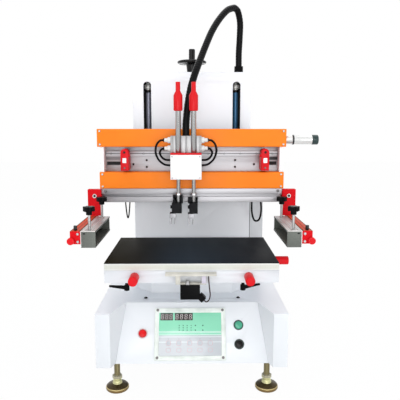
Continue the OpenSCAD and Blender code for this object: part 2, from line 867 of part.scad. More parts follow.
// the guide block with its neck through the opening to the slider on the rail
module carriage_block() {
    x0 = carriage_left_x;
    x1 = x0 + carriage_w;
    in_x0 = x0 + slider_inset;
    in_x1 = x1 - slider_inset;
    color("gray") in_frame() difference() {
        union() {
            block([x0, x1], [guide_front_y, guide_back_y], [guide_z, seat_z]);
            block([in_x0, in_x1], [guide_back_y - eps, slider_front_y + eps], [gap_z + 10, seat_z]);
            block([in_x0, in_x1], [guide_back_y + seat_gap, slider_front_y + eps],
                [gap_z + 10, upper_cover_z - stop_margin]);
            for (z = [[rail_z - slider_h, rail_z - seat_gap],
                [rail_z + rail_w + seat_gap, rail_z + rail_w + slider_h]])
                block([in_x0, in_x1], [slider_front_y, body_y - part_gap], z);
        }
        for (x = [rod_left_x, rod_right_x]) translate([x, 0, 0]) {
            translate([0, 0, guide_z - eps]) cylinder(d = rod_d + 2 * run_gap, h = guide_h + 2 * eps);
            translate([0, 0, counterbore_z])
                cylinder(d = tube_d + 2 * run_gap, h = seat_z + eps - counterbore_z);
        }
    }
}

// the red plate between the guide block and the cylinders
module cylinder_seat() {
    color("red") in_frame() difference() {
        block([carriage_left_x, carriage_left_x + carriage_w], [guide_front_y, guide_back_y],
            [seat_z, cylinder_z]);
        for (x = [rod_left_x, rod_right_x])
            translate([x, 0, seat_z - eps]) cylinder(d = tube_d + 2 * run_gap, h = seat_t + 2 * eps);
    }
}

// two cylinder bodies side by side, each with the rod tube in a groove down its face
module cylinder_block() {
    groove = 3;
    color("silver") in_frame() difference() {
        for (x = [rod_left_x, rod_right_x])
            block([x - rod_pitch / 2, x + rod_pitch / 2], [cylinder_front_y, guide_back_y],
                [cylinder_z, cylinder_top_z]);
        for (x = [rod_left_x, rod_right_x])
            translate([x, 0, cylinder_z - eps]) cylinder(d = tube_d + 2 * run_gap, h = cylinder_h + 2 * eps);
        for (x = [rod_left_x - rod_pitch / 2 + 5, carriage_x, rod_right_x + rod_pitch / 2 - 5])
            block([x - groove / 2, x + groove / 2], [cylinder_front_y - eps, cylinder_front_y + groove],
                [cylinder_z - eps, cylinder_top_z + eps]);
    }
}

module front_plate() {
    color("white") in_frame() block([carriage_left_x, carriage_left_x + carriage_w],
        [guide_front_y - plate_t, guide_front_y], [guide_z, seat_z]);
}

// push-in connectors: a threaded neck and a wider body
module air_fittings() {
    color("white") in_frame() for (side = [-1, 1]) for (z = [fitting_low_z, fitting_high_z])
        translate([carriage_x + side * rod_pitch, fitting_y, z]) rotate([0, side * 90, 0])
            rotate_extrude() polygon([[0, 0], [4, 0], [4, 4], [5.5, 5], [5.5, fitting_l - 2],
                [4.5, fitting_l], [0, fitting_l]]);
}

// a lifting rod with its upper tube and red cap
module lifting_rod(x) {
    neck_r = cap_neck_d / 2;
    color("silver") in_frame() translate([x, 0, 0]) {
        translate([0, 0, rod_bottom_z]) cylinder(d = rod_d, h = cap_z - rod_bottom_z);
        translate([0, 0, tube_end_z]) cylinder(d = tube_d, h = cap_z - tube_end_z);
        translate([0, 0, cap_z]) rotate_extrude() polygon([[0, 0], [cap_d / 2 - 2, 0], [cap_d / 2, 2],
            [cap_d / 2, cap_h - cap_bevel_h], [neck_r, cap_h], [neck_r, cap_h + cap_neck_h],
            [0, cap_h + cap_neck_h]]);
    }
}

module squeegee_rod() { lifting_rod(rod_left_x); }

module flood_rod() { lifting_rod(rod_right_x); }

// a fork that hangs from z = 0 with its slot open below
module fork(w, l) {
    depth = 32;
    leg = (w - fork_slot_w) / 2;
    difference() {
        translate([-w / 2, -depth / 2, -l]) cube([w, depth, l]);
        translate([-fork_slot_w / 2, -depth / 2 - eps, -l - eps])
            cube([fork_slot_w, depth + 2 * eps, l * 0.62]);
        for (side = [-1, 1]) translate([side * w / 2, -depth / 2 - eps, -l * 0.45]) rotate([0, side * 8, 0])
            translate([-leg * 0.2, 0, -l]) cube([leg, depth + 2 * eps, l]);
    }
}

// a clamp around the rod's end, its body below and the fork to one side
module rod_clamp(ears, ear_h, body, body_h, fork_x, screw_side) {
    z = rod_bottom_z;
    ear_front = -2;
    half = 14;
    difference() {
        block(ears, [ear_front, half], [z - 1, z + ear_h]);
        translate([0, 0, z]) cylinder(d = rod_d + 2 * run_gap, h = ear_h + eps);
    }
    block(body, [-12, half], [z - body_h, z - run_gap]);
    translate([screw_side < 0 ? body[0] : body[1], 0, z - body_h * 0.4]) rotate([0, screw_side * 90, 0])
        cylinder(d = 10, h = 4);
    translate([fork_x, 0, z - body_h]) fork(fork_w, fork_l);
}

module squeegee_clamp() {
    color("black") in_frame() translate([rod_left_x, 0, 0]) rod_clamp([-16, 12], 22, [-19, 9], 28, -16, -1);
}

module flood_clamp() {
    color("black") in_frame() translate([rod_right_x, 0, 0]) rod_clamp([-17, 11], 16, [-13, 11], 29, -8, -1);
}

// rings of a round tube along a list of points
function unit(v) = v / norm(v);
function heading(p, i) = unit(p[min(i + 1, len(p) - 1)] - p[max(i - 1, 0)]);
function tube_ring(p, i, r, sides, up) = let (t = heading(p, i), u = unit(cross(t, up)), v = cross(t, u))
    [for (k = [0 : sides - 1]) p[i] + r * (cos(360 * k / sides) * u + sin(360 * k / sides) * v)];
module tube(p, d, sides, up) {
    n = len(p);
    points = [for (i = [0 : n - 1]) each tube_ring(p, i, d / 2, sides, up)];
    walls = [for (i = [0 : n - 2], k = [0 : sides - 1], half = [0, 1])
        let (a = i * sides, b = (k + 1) % sides)
        half == 0 ? [a + k, a + b, a + sides + b] : [a + k, a + sides + b, a + sides + k]];
    first = [for (k = [0 : sides - 1]) sides - 1 - k];
    last = [for (k = [0 : sides - 1]) (n - 1) * sides + k];
    polyhedron(points, concat([first], walls, [last]));
}

// the hose from the column to the carriage, in two lengths that meet at its top
socket_x = 150;
socket_y = guide_y + 18;
socket_h = 24;
hose_x = carriage_x;
hose_y = (cylinder_front_y + guide_back_y) / 2;
hose_top = [132, 212, 1068];
hose_rear_route = [[socket_x, socket_y, column_z + socket_h], [socket_x, socket_y, column_z + socket_h + 42],
    [152, 248, 985], [152, 240, 1030], [144, 226, 1060], hose_top + [3, 4, 0], hose_top];
hose_front_route = [hose_top, hose_top - [3, 4, 0], [108, 186, 1056], [83, 158, 1025], [60, 128, 985],
    [42, 98, 942], [27, 70, 902], [14, 44, 866], [4, 30, 836], [-4, 27, 806], [-10, 26, 772], [-14, 22, 738],
    [hose_x, hose_y + 2, 712], [hose_x, hose_y, cylinder_top_z + 13], [hose_x, hose_y, cylinder_top_z]];

module hose_rear() { color("black") in_frame() tube(hose_rear_route, hose_d, 12, [0, 1, 0]); }

module hose_front() { color("black") in_frame() tube(hose_front_route, hose_d, 12, [1, -1, 0]); }

// air tubes from the fittings round to the sides of the guide block
fitting_y = 8;
fitting_l = 18;
fitting_low_z = cylinder_z + 12;
fitting_high_z = cylinder_z + 35;
tube_end_d = 6;
tube_up = [0, 1, 0.3];
left_tube_x = carriage_left_x - fitting_l;
outer_route = [[left_tube_x, fitting_y, fitting_high_z], [left_tube_x - 3, fitting_y, fitting_high_z],
    [-89, 5, 667], [-98, -1, 655], [-100, -7, 636], [-92, -11, 616], [-77, -10, 603],
    [carriage_left_x - 5, -8, 600], [carriage_left_x, -8, 600]];
inner_route = [[left_tube_x, fitting_y, fitting_low_z], [left_tube_x - 2, fitting_y, fitting_low_z],
    [-85, 6, 643], [-89, 3, 634], [-84, 2, 622], [-74, 2, 615], [carriage_left_x - 4, 2, 614],
    [carriage_left_x, 2, 614]];
function mirrored(route) = [for (p = route) [2 * carriage_x - p[0], p[1], p[2]]];

module air_tube_left() { color("black") in_frame() tube(outer_route, tube_end_d, 8, tube_up); }

module air_tube_left_inner() { color("black") in_frame() tube(inner_route, tube_end_d, 8, tube_up); }

module air_tube_right() { color("black") in_frame() tube(mirrored(outer_route), tube_end_d, 8, tube_up); }

module air_tube_right_inner() {
    color("black") in_frame() tube(mirrored(inner_route), tube_end_d, 8, tube_up);
}

// leads behind the head and at the valve
beam_cable_route = [[196, beam_back_y, 560], [196, 148, 560], [193, 158, 545], [190, 170, 490],
    [191, 180, 440], [198, 186, 412], [208, 190, 405], [218, 194, 412], [224, 202, 440], [222, 220, 480],
    [216, 238, 502],
    [212, 246, 506], [212, column_y + 60, 506]];
sensor_lead_route = [[-212, beam_back_y, 560], [-212, 148, 560], [-212, 154, 540], [-210, 156, 490],
    [-206, 156, 440], [-202, 156, 422], [-198, 156, 440], [-194, 156, 490], [-192, 154, 540],
    [-192, 148, 560],
    [-192, beam_back_y, 560]];
valve_lead_route = [[43, -163, shelf_z], [43, -163, shelf_z - 5], [45, -165, 300], [47, -167, 280],
    [44, -167, 267], [37, -167, 262], [31, -167, 267]];

module beam_cable() { color("black") in_frame() tube(beam_cable_route, 6, 8, [1, 0.2, 0]); }

module sensor_lead() { color("black") in_frame() tube(sensor_lead_route, 4, 8, [0.1, 1, 0]); }

module valve_lead() { color("black") in_frame() tube(valve_lead_route, 3, 8, [0, 1, 0]); }

base_cabinet();
control_panel();
display_bezel();
display_window();
levelling_feet();
table_pedestal();
column_housing();
column_front();
guide_rods();
side_box();
hose_socket();
handwheel();
cross_slide();
table_board();
table_skin();
vacuum_box();
valve_shelf();
vacuum_valve();
adjust_knob_left();
adjust_knob_right();
adjust_knob_side();
lock_levers();
red_button();
green_button();
black_button();
beam_body();
upper_cover();
lower_cover();
end_cheeks();
linear_rail();
lower_beam();
end_stops();
drive_cylinder();
lift_brackets();
frame_arms();
frame_channels();
arm_screws();
clamp_left_front();
clamp_left_rear();
clamp_right_front();
clamp_right_rear();
carriage_block();
cylinder_seat();
cylinder_block();
front_plate();
air_fittings();
squeegee_rod();
squeegee_clamp();
flood_rod();
flood_clamp();
hose_rear();
hose_front();
air_tube_left();
air_tube_left_inner();
air_tube_right();
air_tube_right_inner();
beam_cable();
sensor_lead();
valve_lead();
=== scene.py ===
import json
from math import cos, pi, radians, sin

import bmesh
import bpy
import numpy as np
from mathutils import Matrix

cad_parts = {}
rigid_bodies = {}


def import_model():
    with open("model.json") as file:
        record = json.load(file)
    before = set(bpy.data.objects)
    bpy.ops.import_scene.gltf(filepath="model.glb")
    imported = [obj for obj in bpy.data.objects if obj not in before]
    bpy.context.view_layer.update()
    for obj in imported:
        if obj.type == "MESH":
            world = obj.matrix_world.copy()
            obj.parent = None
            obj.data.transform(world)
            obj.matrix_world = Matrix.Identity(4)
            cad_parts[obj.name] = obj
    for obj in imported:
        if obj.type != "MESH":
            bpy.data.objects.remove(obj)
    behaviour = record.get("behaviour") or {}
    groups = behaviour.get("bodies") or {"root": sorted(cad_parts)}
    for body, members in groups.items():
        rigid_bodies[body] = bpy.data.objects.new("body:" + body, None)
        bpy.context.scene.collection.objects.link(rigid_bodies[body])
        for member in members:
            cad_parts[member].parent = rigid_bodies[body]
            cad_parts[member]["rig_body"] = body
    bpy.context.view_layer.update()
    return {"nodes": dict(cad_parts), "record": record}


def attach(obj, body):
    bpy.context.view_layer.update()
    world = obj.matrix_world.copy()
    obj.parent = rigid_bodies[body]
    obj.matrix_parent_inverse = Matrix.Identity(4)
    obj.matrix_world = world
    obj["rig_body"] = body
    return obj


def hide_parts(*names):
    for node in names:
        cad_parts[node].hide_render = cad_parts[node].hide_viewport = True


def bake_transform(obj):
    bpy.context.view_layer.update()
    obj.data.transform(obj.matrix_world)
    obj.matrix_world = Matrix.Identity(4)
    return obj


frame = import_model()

machineMiddle = (28.5, 106.5)  # mm, where the frame's origin lies in the machine's own measure


def at(x, y, z):
    # machine millimetres to metres in the frame: take the middle away, then divide by a thousand
    return ((x - machineMiddle[0]) / 1000, (y - machineMiddle[1]) / 1000, z / 1000)


def toFrame(points):
    # the same sum for a whole array of points
    return (np.asarray(points, float) - (*machineMiddle, 0)) / 1000


# camera
cameraPlace = {"seenFrom": (7.0, -1381.9, 701.4), "tiltDown": 8.242, "turnRight": 0.661, "lens": 44.507}
cameraData = bpy.data.cameras.new("photographer")
cameraData.lens = cameraPlace["lens"]
cameraData.sensor_width = 36
cameraData.clip_start = 0.05
camera = bpy.data.objects.new("photographer", cameraData)
camera.location = at(*cameraPlace["seenFrom"])
camera.rotation_euler = (radians(90 - cameraPlace["tiltDown"]), 0, -radians(cameraPlace["turnRight"]))
bpy.context.scene.collection.objects.link(camera)
bpy.context.scene.camera = camera
print("camera placed")


# shapes: each returns points in machine mm and faces, ready to be joined into a piece
def unit(vectors):
    # each vector divided by its own length
    return vectors / np.linalg.norm(vectors, axis=-1, keepdims=True)


def gridFaces(rows, columns, closed=True):
    # quads between neighbouring rows; the last column joins the first where the grid is closed
    r, c = np.meshgrid(np.arange(rows - 1), np.arange(columns if closed else columns - 1), indexing="ij")
    r, c = r.ravel(), c.ravel()
    d = (c + 1) % columns
    return np.stack([r * columns + c, r * columns + d, (r + 1) * columns + d, (r + 1) * columns + c], 1).tolist()


def tubeFaces(rows, columns):
    # the walls of a tube and a flat lid at each end
    lids = [list(range(columns))[::-1], [(rows - 1) * columns + k for k in range(columns)]]
    return gridFaces(rows, columns) + lids


def axesFor(out):
    # two directions square to a given one, right-handed with it
    out = unit(np.asarray(out, float))
    side = unit(np.cross(out, (0, 0, 1.0) if abs(out[2]) < 0.9 else (0, 1.0, 0)))
    return side, np.cross(out, side), out


def turned(profile, origin, axis=(0, 0, 1), steps=32):
    # a turned part: each (radius, height) of the profile goes round the axis, point = origin + height*axis + radius*(cos a*side + sin a*other)
    side, other, out = axesFor(axis)
    radius, height = np.asarray(profile, float).T
    a = np.linspace(0, 2 * pi, steps, endpoint=False)
    ring = np.cos(a)[:, None] * side + np.sin(a)[:, None] * other
    points = np.asarray(origin, float) + height[:, None, None] * out + np.maximum(radius, 0.02)[:, None, None] * ring[None]
    return points.reshape(-1, 3), tubeFaces(len(radius), steps)


def roundedEdge(radius, height, fillet, foot=0.0):
    # profile of a round disc whose top edge is rounded: fillet corner = (radius - f + f*sin t, height - f + f*cos t)
    t = np.linspace(pi / 2, 0, 5)
    return [(radius, foot)] + [(radius - fillet + fillet * sin(k), height - fillet + fillet * cos(k)) for k in t]


def domed(radius, foot, rise, rows=8):
    # profile of a dome: radius*cos t across, rise*sin t up, from its foot
    t = np.linspace(0, pi / 2 * 0.98, rows)
    return [(radius * cos(k), foot + rise * sin(k)) for k in t]


def roundedBox(width, height, corner, steps=4):
    # outline of a rectangle whose corners are quarter circles of the corner radius
    a = np.linspace(0, pi / 2, steps + 1)
    corners = [(1, 1, 0), (-1, 1, pi / 2), (-1, -1, pi), (1, -1, 3 * pi / 2)]
    return np.concatenate([np.stack([sx * (width / 2 - corner) + corner * np.cos(a + t), sy * (height / 2 - corner) + corner * np.sin(a + t)], 1) for sx, sy, t in corners])


def evenOutline(across, sides, turn=0.0):
    # outline of a regular polygon: across/2*(cos a, sin a)
    a = np.linspace(0, 2 * pi, sides, endpoint=False) + turn
    return np.stack([across / 2 * np.cos(a), across / 2 * np.sin(a)], 1)


def slab(outline, low, high, origin, out=(0, 0, 1), side=None, edge=0.3):
    # a flat plate on its outline, with its top edge drawn in a little: rows at low, high - edge and high, the last shrunk by the edge's width
    if side is None:
        side, other, out = axesFor(out)
    else:
        out, side = unit(np.asarray(out, float)), unit(np.asarray(side, float))
        other = np.cross(out, side)
    outline = np.asarray(outline, float)
    middle = outline.mean(0)
    reach = np.linalg.norm(outline - middle, axis=1, keepdims=True)
    inner = middle + (outline - middle) * (1 - edge / np.maximum(reach, edge * 2))
    rows = [(outline, low), (outline, high - edge), (inner, high)]
    points = [np.asarray(origin, float) + o[:, :1] * side + o[:, 1:] * other + h * out for o, h in rows]
    return np.concatenate(points), tubeFaces(3, len(outline))


def carried(path, radii, up, steps):
    # a round section carried along a path: side = heading x up, point = path + radius*(cos a*side + sin a*(heading x side))
    path = np.asarray(path, float)
    heading = unit(np.gradient(path, axis=0))
    side = unit(np.cross(heading, np.asarray(up, float)))
    other = np.cross(heading, side)
    a = np.linspace(0, 2 * pi, steps, endpoint=False)
    ring = np.cos(a)[None, :, None] * side[:, None] + np.sin(a)[None, :, None] * other[:, None]
    points = path[:, None] + np.broadcast_to(radii, (len(path), steps))[..., None] * ring
    return points.reshape(-1, 3), tubeFaces(len(path), steps)


def smoothRoute(points, spacing):
    # catmull-Rom curve through the points, then put at even steps of its length
    p = np.asarray(points, float)
    p = np.concatenate([[2 * p[0] - p[1]], p, [2 * p[-1] - p[-2]]])
    t = np.linspace(0, 1, 24, endpoint=False)[None, :, None]
    a, b, c, d = p[:-3, None], p[1:-2, None], p[2:-1, None], p[3:, None]
    curve = 0.5 * (2 * b + (c - a) * t + (2 * a - 5 * b + 4 * c - d) * t**2 + (3 * b - a - 3 * c + d) * t**3)
    curve = np.concatenate([curve.reshape(-1, 3), p[-2:-1]])
    length = np.concatenate([[0], np.cumsum(np.linalg.norm(np.diff(curve, axis=0), axis=1))])
    even = np.linspace(0, length[-1], max(int(length[-1] / spacing), 12))
    return np.stack([np.interp(even, length, curve[:, k]) for k in range(3)], 1), length[-1]


def piece(name, parts, body, finish, bevel=0.0, crease=40):
    # one object from one or more shapes: their points one after another, each shape's faces moved on by the points before it
    parts = parts if isinstance(parts, list) else [parts]
    starts = np.cumsum([0] + [len(points) for points, _ in parts])
    faces = [[int(k) + int(start) for k in face] for start, (_, shape) in zip(starts, parts) for face in shape]
    mesh = bpy.data.meshes.new(name)
    mesh.from_pydata(toFrame(np.concatenate([points for points, _ in parts])).tolist(), [], faces)
    mesh.validate()
    build = bmesh.new()
    build.from_mesh(mesh)
    bmesh.ops.recalc_face_normals(build, faces=build.faces)
    build.to_mesh(mesh)
    build.free()
    mesh.shade_smooth()
    mesh.set_sharp_from_angle(angle=radians(crease))
    mesh.materials.append(finish)
    made = bpy.data.objects.new(name, mesh)
    bpy.context.scene.collection.objects.link(made)
    if bevel:
        rounding = made.modifiers.new("rounding", "BEVEL")
        rounding.width, rounding.segments, rounding.limit_method, rounding.angle_limit = bevel / 1000, 2, "ANGLE", radians(50)
    if body:
        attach(made, body)
    return made


# finishes
class Wire:
    # a number on its way through a finish: arithmetic on it adds Math nodes

    def __init__(self, paint, socket):
        self.paint, self.socket = paint, socket

    def maths(self, operation, *others):
        made = self.paint.node("ShaderNodeMath", {"operation": operation}, self, *others)
        return Wire(self.paint, made.outputs[0])

    def __add__(self, other): return self.maths("ADD", other)
    def __radd__(self, other): return self.maths("ADD", other)
    def __sub__(self, other): return self.maths("SUBTRACT", other)
    def __rsub__(self, other): return (self * -1).maths("ADD", other)
    def __mul__(self, other): return self.maths("MULTIPLY", other)
    def __rmul__(self, other): return self.maths("MULTIPLY", other)
    def __truediv__(self, other): return self.maths("DIVIDE", other)
    def __pow__(self, other): return self.maths("POWER", other)
    def __lt__(self, other): return self.maths("LESS_THAN", other)
    def __gt__(self, other): return self.maths("GREATER_THAN", other)
    def wrapped(self, span): return self.maths("WRAP", span, 0.0)
    def size(self): return self.maths("ABSOLUTE")
    def wave(self): return self.maths("SINE")
    def kept(self): return (self.maths("MAXIMUM", 0.0)).maths("MINIMUM", 1.0)


class Paint:
    # one finish: a Principled shader, and the nodes that vary it over the surface

    def __init__(self, name, **constants):
        self.material = bpy.data.materials.new(name)
        self.material.use_nodes = True
        self.tree = self.material.node_tree
        self.tree.nodes.clear()
        self.shader = self.node("ShaderNodeBsdfPrincipled")
        self.node("ShaderNodeOutputMaterial", None, self.shader.outputs[0])
        self.place = self.node("ShaderNodeTexCoord").outputs["Object"]
        self.give(**constants)

    def node(self, kind, settings=None, *values, **named):
        made = self.tree.nodes.new(kind)
        stops = (settings or {}).pop("stops", None)
        for key, value in (settings or {}).items():
            setattr(made, key, value)
        if stops:
            while len(made.color_ramp.elements) < len(stops):
                made.color_ramp.elements.new(0.5)
            for element, (where, colour) in zip(made.color_ramp.elements, stops):
                element.position, element.color = where, (*colour, 1)
        for key, value in [*enumerate(values), *named.items()]:
            self.join(made.inputs[key if isinstance(key, int) else key.replace("_", " ")], value)
        return made

    def join(self, socket, value):
        value = value.socket if isinstance(value, Wire) else value
        if isinstance(value, bpy.types.NodeSocket):
            self.tree.links.new(value, socket)
        elif hasattr(socket.default_value, "__len__") and len(socket.default_value) == 4 and len(value) == 3:
            socket.default_value = (*value, 1)
        else:
            socket.default_value = value

    def give(self, **values):
        for key, value in values.items():
            self.join(self.shader.inputs[key.replace("_", " ")], value)
        return self

    def stretched(self, x=1.0, y=1.0, z=1.0):
        return self.node("ShaderNodeMapping", None, self.place, Scale=(x, y, z)).outputs[0]

    def grain(self, scale, detail=3.0, place=None, rough=0.5):
        made = self.node("ShaderNodeTexNoise", None, Vector=place or self.place, Scale=scale, Detail=detail, Roughness=rough)
        return Wire(self, made.outputs[0])

    def cells(self, scale, place=None):
        return Wire(self, self.node("ShaderNodeTexVoronoi", None, Vector=place or self.place, Scale=scale).outputs["Distance"])

    def coordinates(self):
        # x, y and z in machine mm, as numbers
        split = self.node("ShaderNodeSeparateXYZ", None, self.place).outputs
        return [Wire(self, split[k]) * 1000 + ((*machineMiddle, 0)[k]) for k in range(3)]

    def mixed(self, amount, first, second):
        made = self.node("ShaderNodeMix", {"data_type": "RGBA"})
        self.join(made.inputs[0], amount)
        self.join(made.inputs[6], first)
        self.join(made.inputs[7], second)
        return made.outputs[2]

    def raised(self, height, strength=0.3, depth=0.0004, under=None):
        made = self.node("ShaderNodeBump", None, Strength=strength, Distance=depth, Height=height)
        if under is not None:
            self.join(made.inputs["Normal"], under)
        return made.outputs[0]


def tint(colour, by):
    return tuple(min(max(c * by, 0), 1) for c in colour)


def powderCoat(name, colour, gloss=0.42, dust=0.035):
    # baked powder paint: fine orange-peel bumps, a faint cloudiness of colour and of gloss
    paint = Paint(name, Coat_Weight=0.12, Coat_Roughness=0.3)
    clouds = paint.grain(5, 4)
    speck = paint.grain(900, 2)
    paint.give(
        Base_Color=paint.mixed(((clouds - 0.35) * 2).kept() * 0.8 + speck * 0.2, tint(colour, 1 - dust), tint(colour, 1 + dust * 0.4)),
        Roughness=gloss + clouds * 0.1 - 0.05,
        Normal=paint.raised(paint.grain(650, 2) + paint.cells(420) * 0.5, 0.12, 0.0002),
    )
    return paint.material


def glossyPaint(name, colour, gloss=0.25, metal=0.0, dark=0.82, coat=0.12, shine=0.35):
    # smooth coloured coat on metal, a little darker in clouds, with fine handling marks in its gloss
    paint = Paint(name, Metallic=metal, Coat_Weight=coat, Coat_Roughness=0.15, Specular_IOR_Level=shine)
    clouds = paint.grain(18, 4)
    marks = paint.grain(120, 5, paint.stretched(1, 1, 0.15))
    paint.give(
        Base_Color=paint.mixed(((clouds - 0.3) * 2.2).kept(), tint(colour, dark), colour),
        Roughness=gloss + marks * 0.16 - 0.04,
        Normal=paint.raised(paint.grain(380, 2), 0.06, 0.0002),
    )
    return paint.material


def drawnMetal(name, colour, along="x", gloss=0.3, metal=1.0, lines=0.25):
    # extruded or ground metal: fine lines in the direction it was drawn, in colour, gloss and relief
    paint = Paint(name, Metallic=metal)
    squeeze = {"x": (0.02, 1, 1), "y": (1, 0.02, 1), "z": (1, 1, 0.02)}[along]
    streaks = paint.grain(700, 3, paint.stretched(*squeeze))
    broad = paint.grain(60, 3, paint.stretched(*squeeze))
    paint.give(
        Base_Color=paint.mixed(streaks * 0.6 + broad * 0.4, tint(colour, 1 - lines), tint(colour, 1 + lines * 0.5)),
        Roughness=gloss + broad * 0.14 - 0.07,
        Normal=paint.raised(streaks, 0.14, 0.00015),
    )
    return paint.material


def turnedMetal(name, colour, gloss=0.2, metal=1.0):
    # turned or plated metal: very fine rings up its length and patches of duller plating
    paint = Paint(name, Metallic=metal)
    rings = paint.grain(900, 2, paint.stretched(0.05, 0.05, 1))
    patches = paint.grain(35, 4)
    paint.give(
        Base_Color=paint.mixed(patches * 0.5 + rings * 0.5, tint(colour, 0.86), tint(colour, 1.1)),
        Roughness=gloss + patches * 0.14 - 0.05,
        Normal=paint.raised(rings, 0.08, 0.0001),
    )
    return paint.material


def mouldedPlastic(name, colour, gloss=0.4, coat=0.0, texture=0.2, shine=0.35):
    # moulded plastic: spark-eroded texture, and gloss worn up where it is handled
    paint = Paint(name, Coat_Weight=coat, Coat_Roughness=0.08, Specular_IOR_Level=shine)
    wear = paint.grain(26, 4)
    paint.give(
        Base_Color=paint.mixed(((wear - 0.35) * 2).kept(), tint(colour, 0.8), tint(colour, 1.15)),
        Roughness=gloss + wear * 0.18 - 0.09,
        Normal=paint.raised(paint.grain(1100, 2), texture, 0.00012),
    )
    return paint.material


whiteCoat = powderCoat("white_powder_coat", (0.74, 0.765, 0.79))
panelCoat = powderCoat("panel_powder_coat", (0.80, 0.825, 0.85), 0.38)
cheekCoat = powderCoat("cheek_powder_coat", (0.88, 0.88, 0.89), 0.4)
bezelPlastic = mouldedPlastic("bezel_gloss_plastic", (0.83, 0.89, 0.83), 0.3, 0.2, 0.05)
orangeCoat = glossyPaint("orange_anodised_cover", (1.0, 0.235, 0.008), 0.45, 0.0, 0.92, 0.05, 0.25)
redCoat = glossyPaint("red_anodised_bar", (0.74, 0.008, 0.014), 0.4, 0.0, 0.8, 0.03, 0.14)
redPlastic = mouldedPlastic("red_cap_plastic", (0.76, 0.006, 0.009), 0.26, 0.06, 0.05, 0.15)
leadPlastic = mouldedPlastic("dark_red_lead", (0.030, 0.004, 0.007), 0.4, 0.0, 0.05, 0.1)
greenPlastic = mouldedPlastic("green_button_plastic", (0.05, 0.42, 0.25), 0.25, 0.3, 0.04)
blackGloss = mouldedPlastic("black_button_plastic", (0.003, 0.003, 0.0035), 0.16, 0.12, 0.04, 0.12)
blackPlastic = mouldedPlastic("black_moulded_plastic", (0.003, 0.003, 0.0035), 0.42, 0.0, 0.2, 0.07)
whitePlastic = mouldedPlastic("white_fitting_plastic", (0.80, 0.80, 0.78), 0.32, 0.2, 0.05)
rubber = mouldedPlastic("black_foot_rubber", (0.02, 0.02, 0.02), 0.7, 0.0, 0.5)
tubePlastic = mouldedPlastic("black_tube_nylon", (0.003, 0.003, 0.0035), 0.3, 0.0, 0.03, 0.09)
beamMetal = drawnMetal("beam_aluminium", (0.45, 0.445, 0.465), "x", 0.42, 0.8)
barMetal = drawnMetal("channel_aluminium", (0.30, 0.31, 0.30), "y", 0.5, 0.55)
blockMetal = drawnMetal("cylinder_block_aluminium", (0.40, 0.40, 0.405), "z", 0.4, 0.85)
railSteel = drawnMetal("ground_rail_steel", (0.50, 0.50, 0.52), "x", 0.2)
slideSteel = drawnMetal("ground_slide_steel", (0.34, 0.34, 0.36), "x", 0.35)
screwSteel = turnedMetal("plated_screw_steel", (0.50, 0.50, 0.51), 0.3)
greyScrew = turnedMetal("dull_screw_steel", (0.20, 0.19, 0.19), 0.42, 0.7)
brass = turnedMetal("brass_bumper", (0.70, 0.55, 0.25), 0.22)
yellowZinc = turnedMetal("yellow_zinc_plate", (0.50, 0.37, 0.15), 0.28)
castGrey = powderCoat("cast_bracket_grey", (0.25, 0.25, 0.27), 0.5)
# painted shade: near-black finish for holes, slots, louvres and recesses drawn as flat discs and plates
recessShade = mouldedPlastic("recess_painted_shade", (0.006, 0.006, 0.007), 0.6, 0.0, 0.2)
lidPale = mouldedPlastic("pale_lilac_plate", (0.66, 0.62, 0.72), 0.35, 0.2, 0.05)
print("finishes mixed")


# cords, on the routes of the source
cordRuns = {
    "hose_rear": {"diameter": 20, "body": ("root", "head"), "up": (0, 1, 0), "stiffness": "stiff", "route": [(150, 250, 898), (150, 250, 940), (152, 248, 985), (152, 240, 1030), (144, 226, 1060), (135, 216, 1068), (132, 212, 1068)]},
    "hose_front": {"diameter": 20, "body": ("head", "carriage"), "up": (1, -1, 0), "stiffness": "stiff", "route": [(132, 212, 1068), (129, 208, 1068), (108, 186, 1056), (83, 158, 1025), (60, 128, 985), (42, 98, 942), (27, 70, 902), (14, 44, 866), (4, 30, 836), (-4, 27, 806), (-10, 26, 772), (-14, 22, 738), (-16, 16, 712), (-16, 14, 694), (-16, 14, 681)]},
    "air_tube_left": {"diameter": 6, "body": ("carriage",), "up": (0, 1, 0.3), "stiffness": "medium", "route": [(-77, 8, 669), (-80, 8, 669), (-89, 5, 667), (-98, -1, 655), (-100, -7, 636), (-92, -11, 616), (-77, -10, 603), (-64, -8, 600), (-59, -8, 600)]},
    "air_tube_left_inner": {"diameter": 6, "body": ("carriage",), "up": (0, 1, 0.3), "stiffness": "medium", "route": [(-77, 8, 646), (-79, 8, 646), (-85, 6, 643), (-89, 3, 634), (-84, 2, 622), (-74, 2, 615), (-63, 2, 614), (-59, 2, 614)]},
    "beam_cable": {"diameter": 6, "body": ("head", "root"), "up": (1, 0, 0), "stiffness": "medium", "route": [(196, 140, 560), (196, 148, 560), (193, 158, 545), (190, 170, 490), (191, 180, 440), (198, 186, 412), (208, 190, 405), (218, 194, 412), (224, 202, 440), (222, 220, 480), (216, 238, 502), (212, 246, 506), (212, 250, 506)]},
    "sensor_lead": {"diameter": 4, "body": ("head",), "up": (0.2, 1, 0), "stiffness": "limp", "route": [(-212, 140, 560), (-212, 148, 560), (-212, 154, 540), (-210, 156, 490), (-206, 156, 440), (-202, 156, 422), (-198, 156, 440), (-194, 156, 490), (-192, 154, 540), (-192, 148, 560), (-192, 140, 560)]},
    "valve_lead": {"diameter": 3, "body": ("table",), "up": (0, 1, 0), "stiffness": "limp", "route": [(43, -163, 332), (43, -163, 324), (45, -165, 300), (47, -167, 280), (44, -167, 267), (37, -167, 262), (31, -167, 267)]},
}
for side in ("air_tube_left", "air_tube_left_inner"):
    cordRuns[side.replace("left", "right")] = {**cordRuns[side], "route": [(-32 - x, y, z) for x, y, z in cordRuns[side]["route"]]}

spiral = {"pitch": 9.0, "depth": 0.4, "edge": 6.0}  # the hose's wound cover, mm


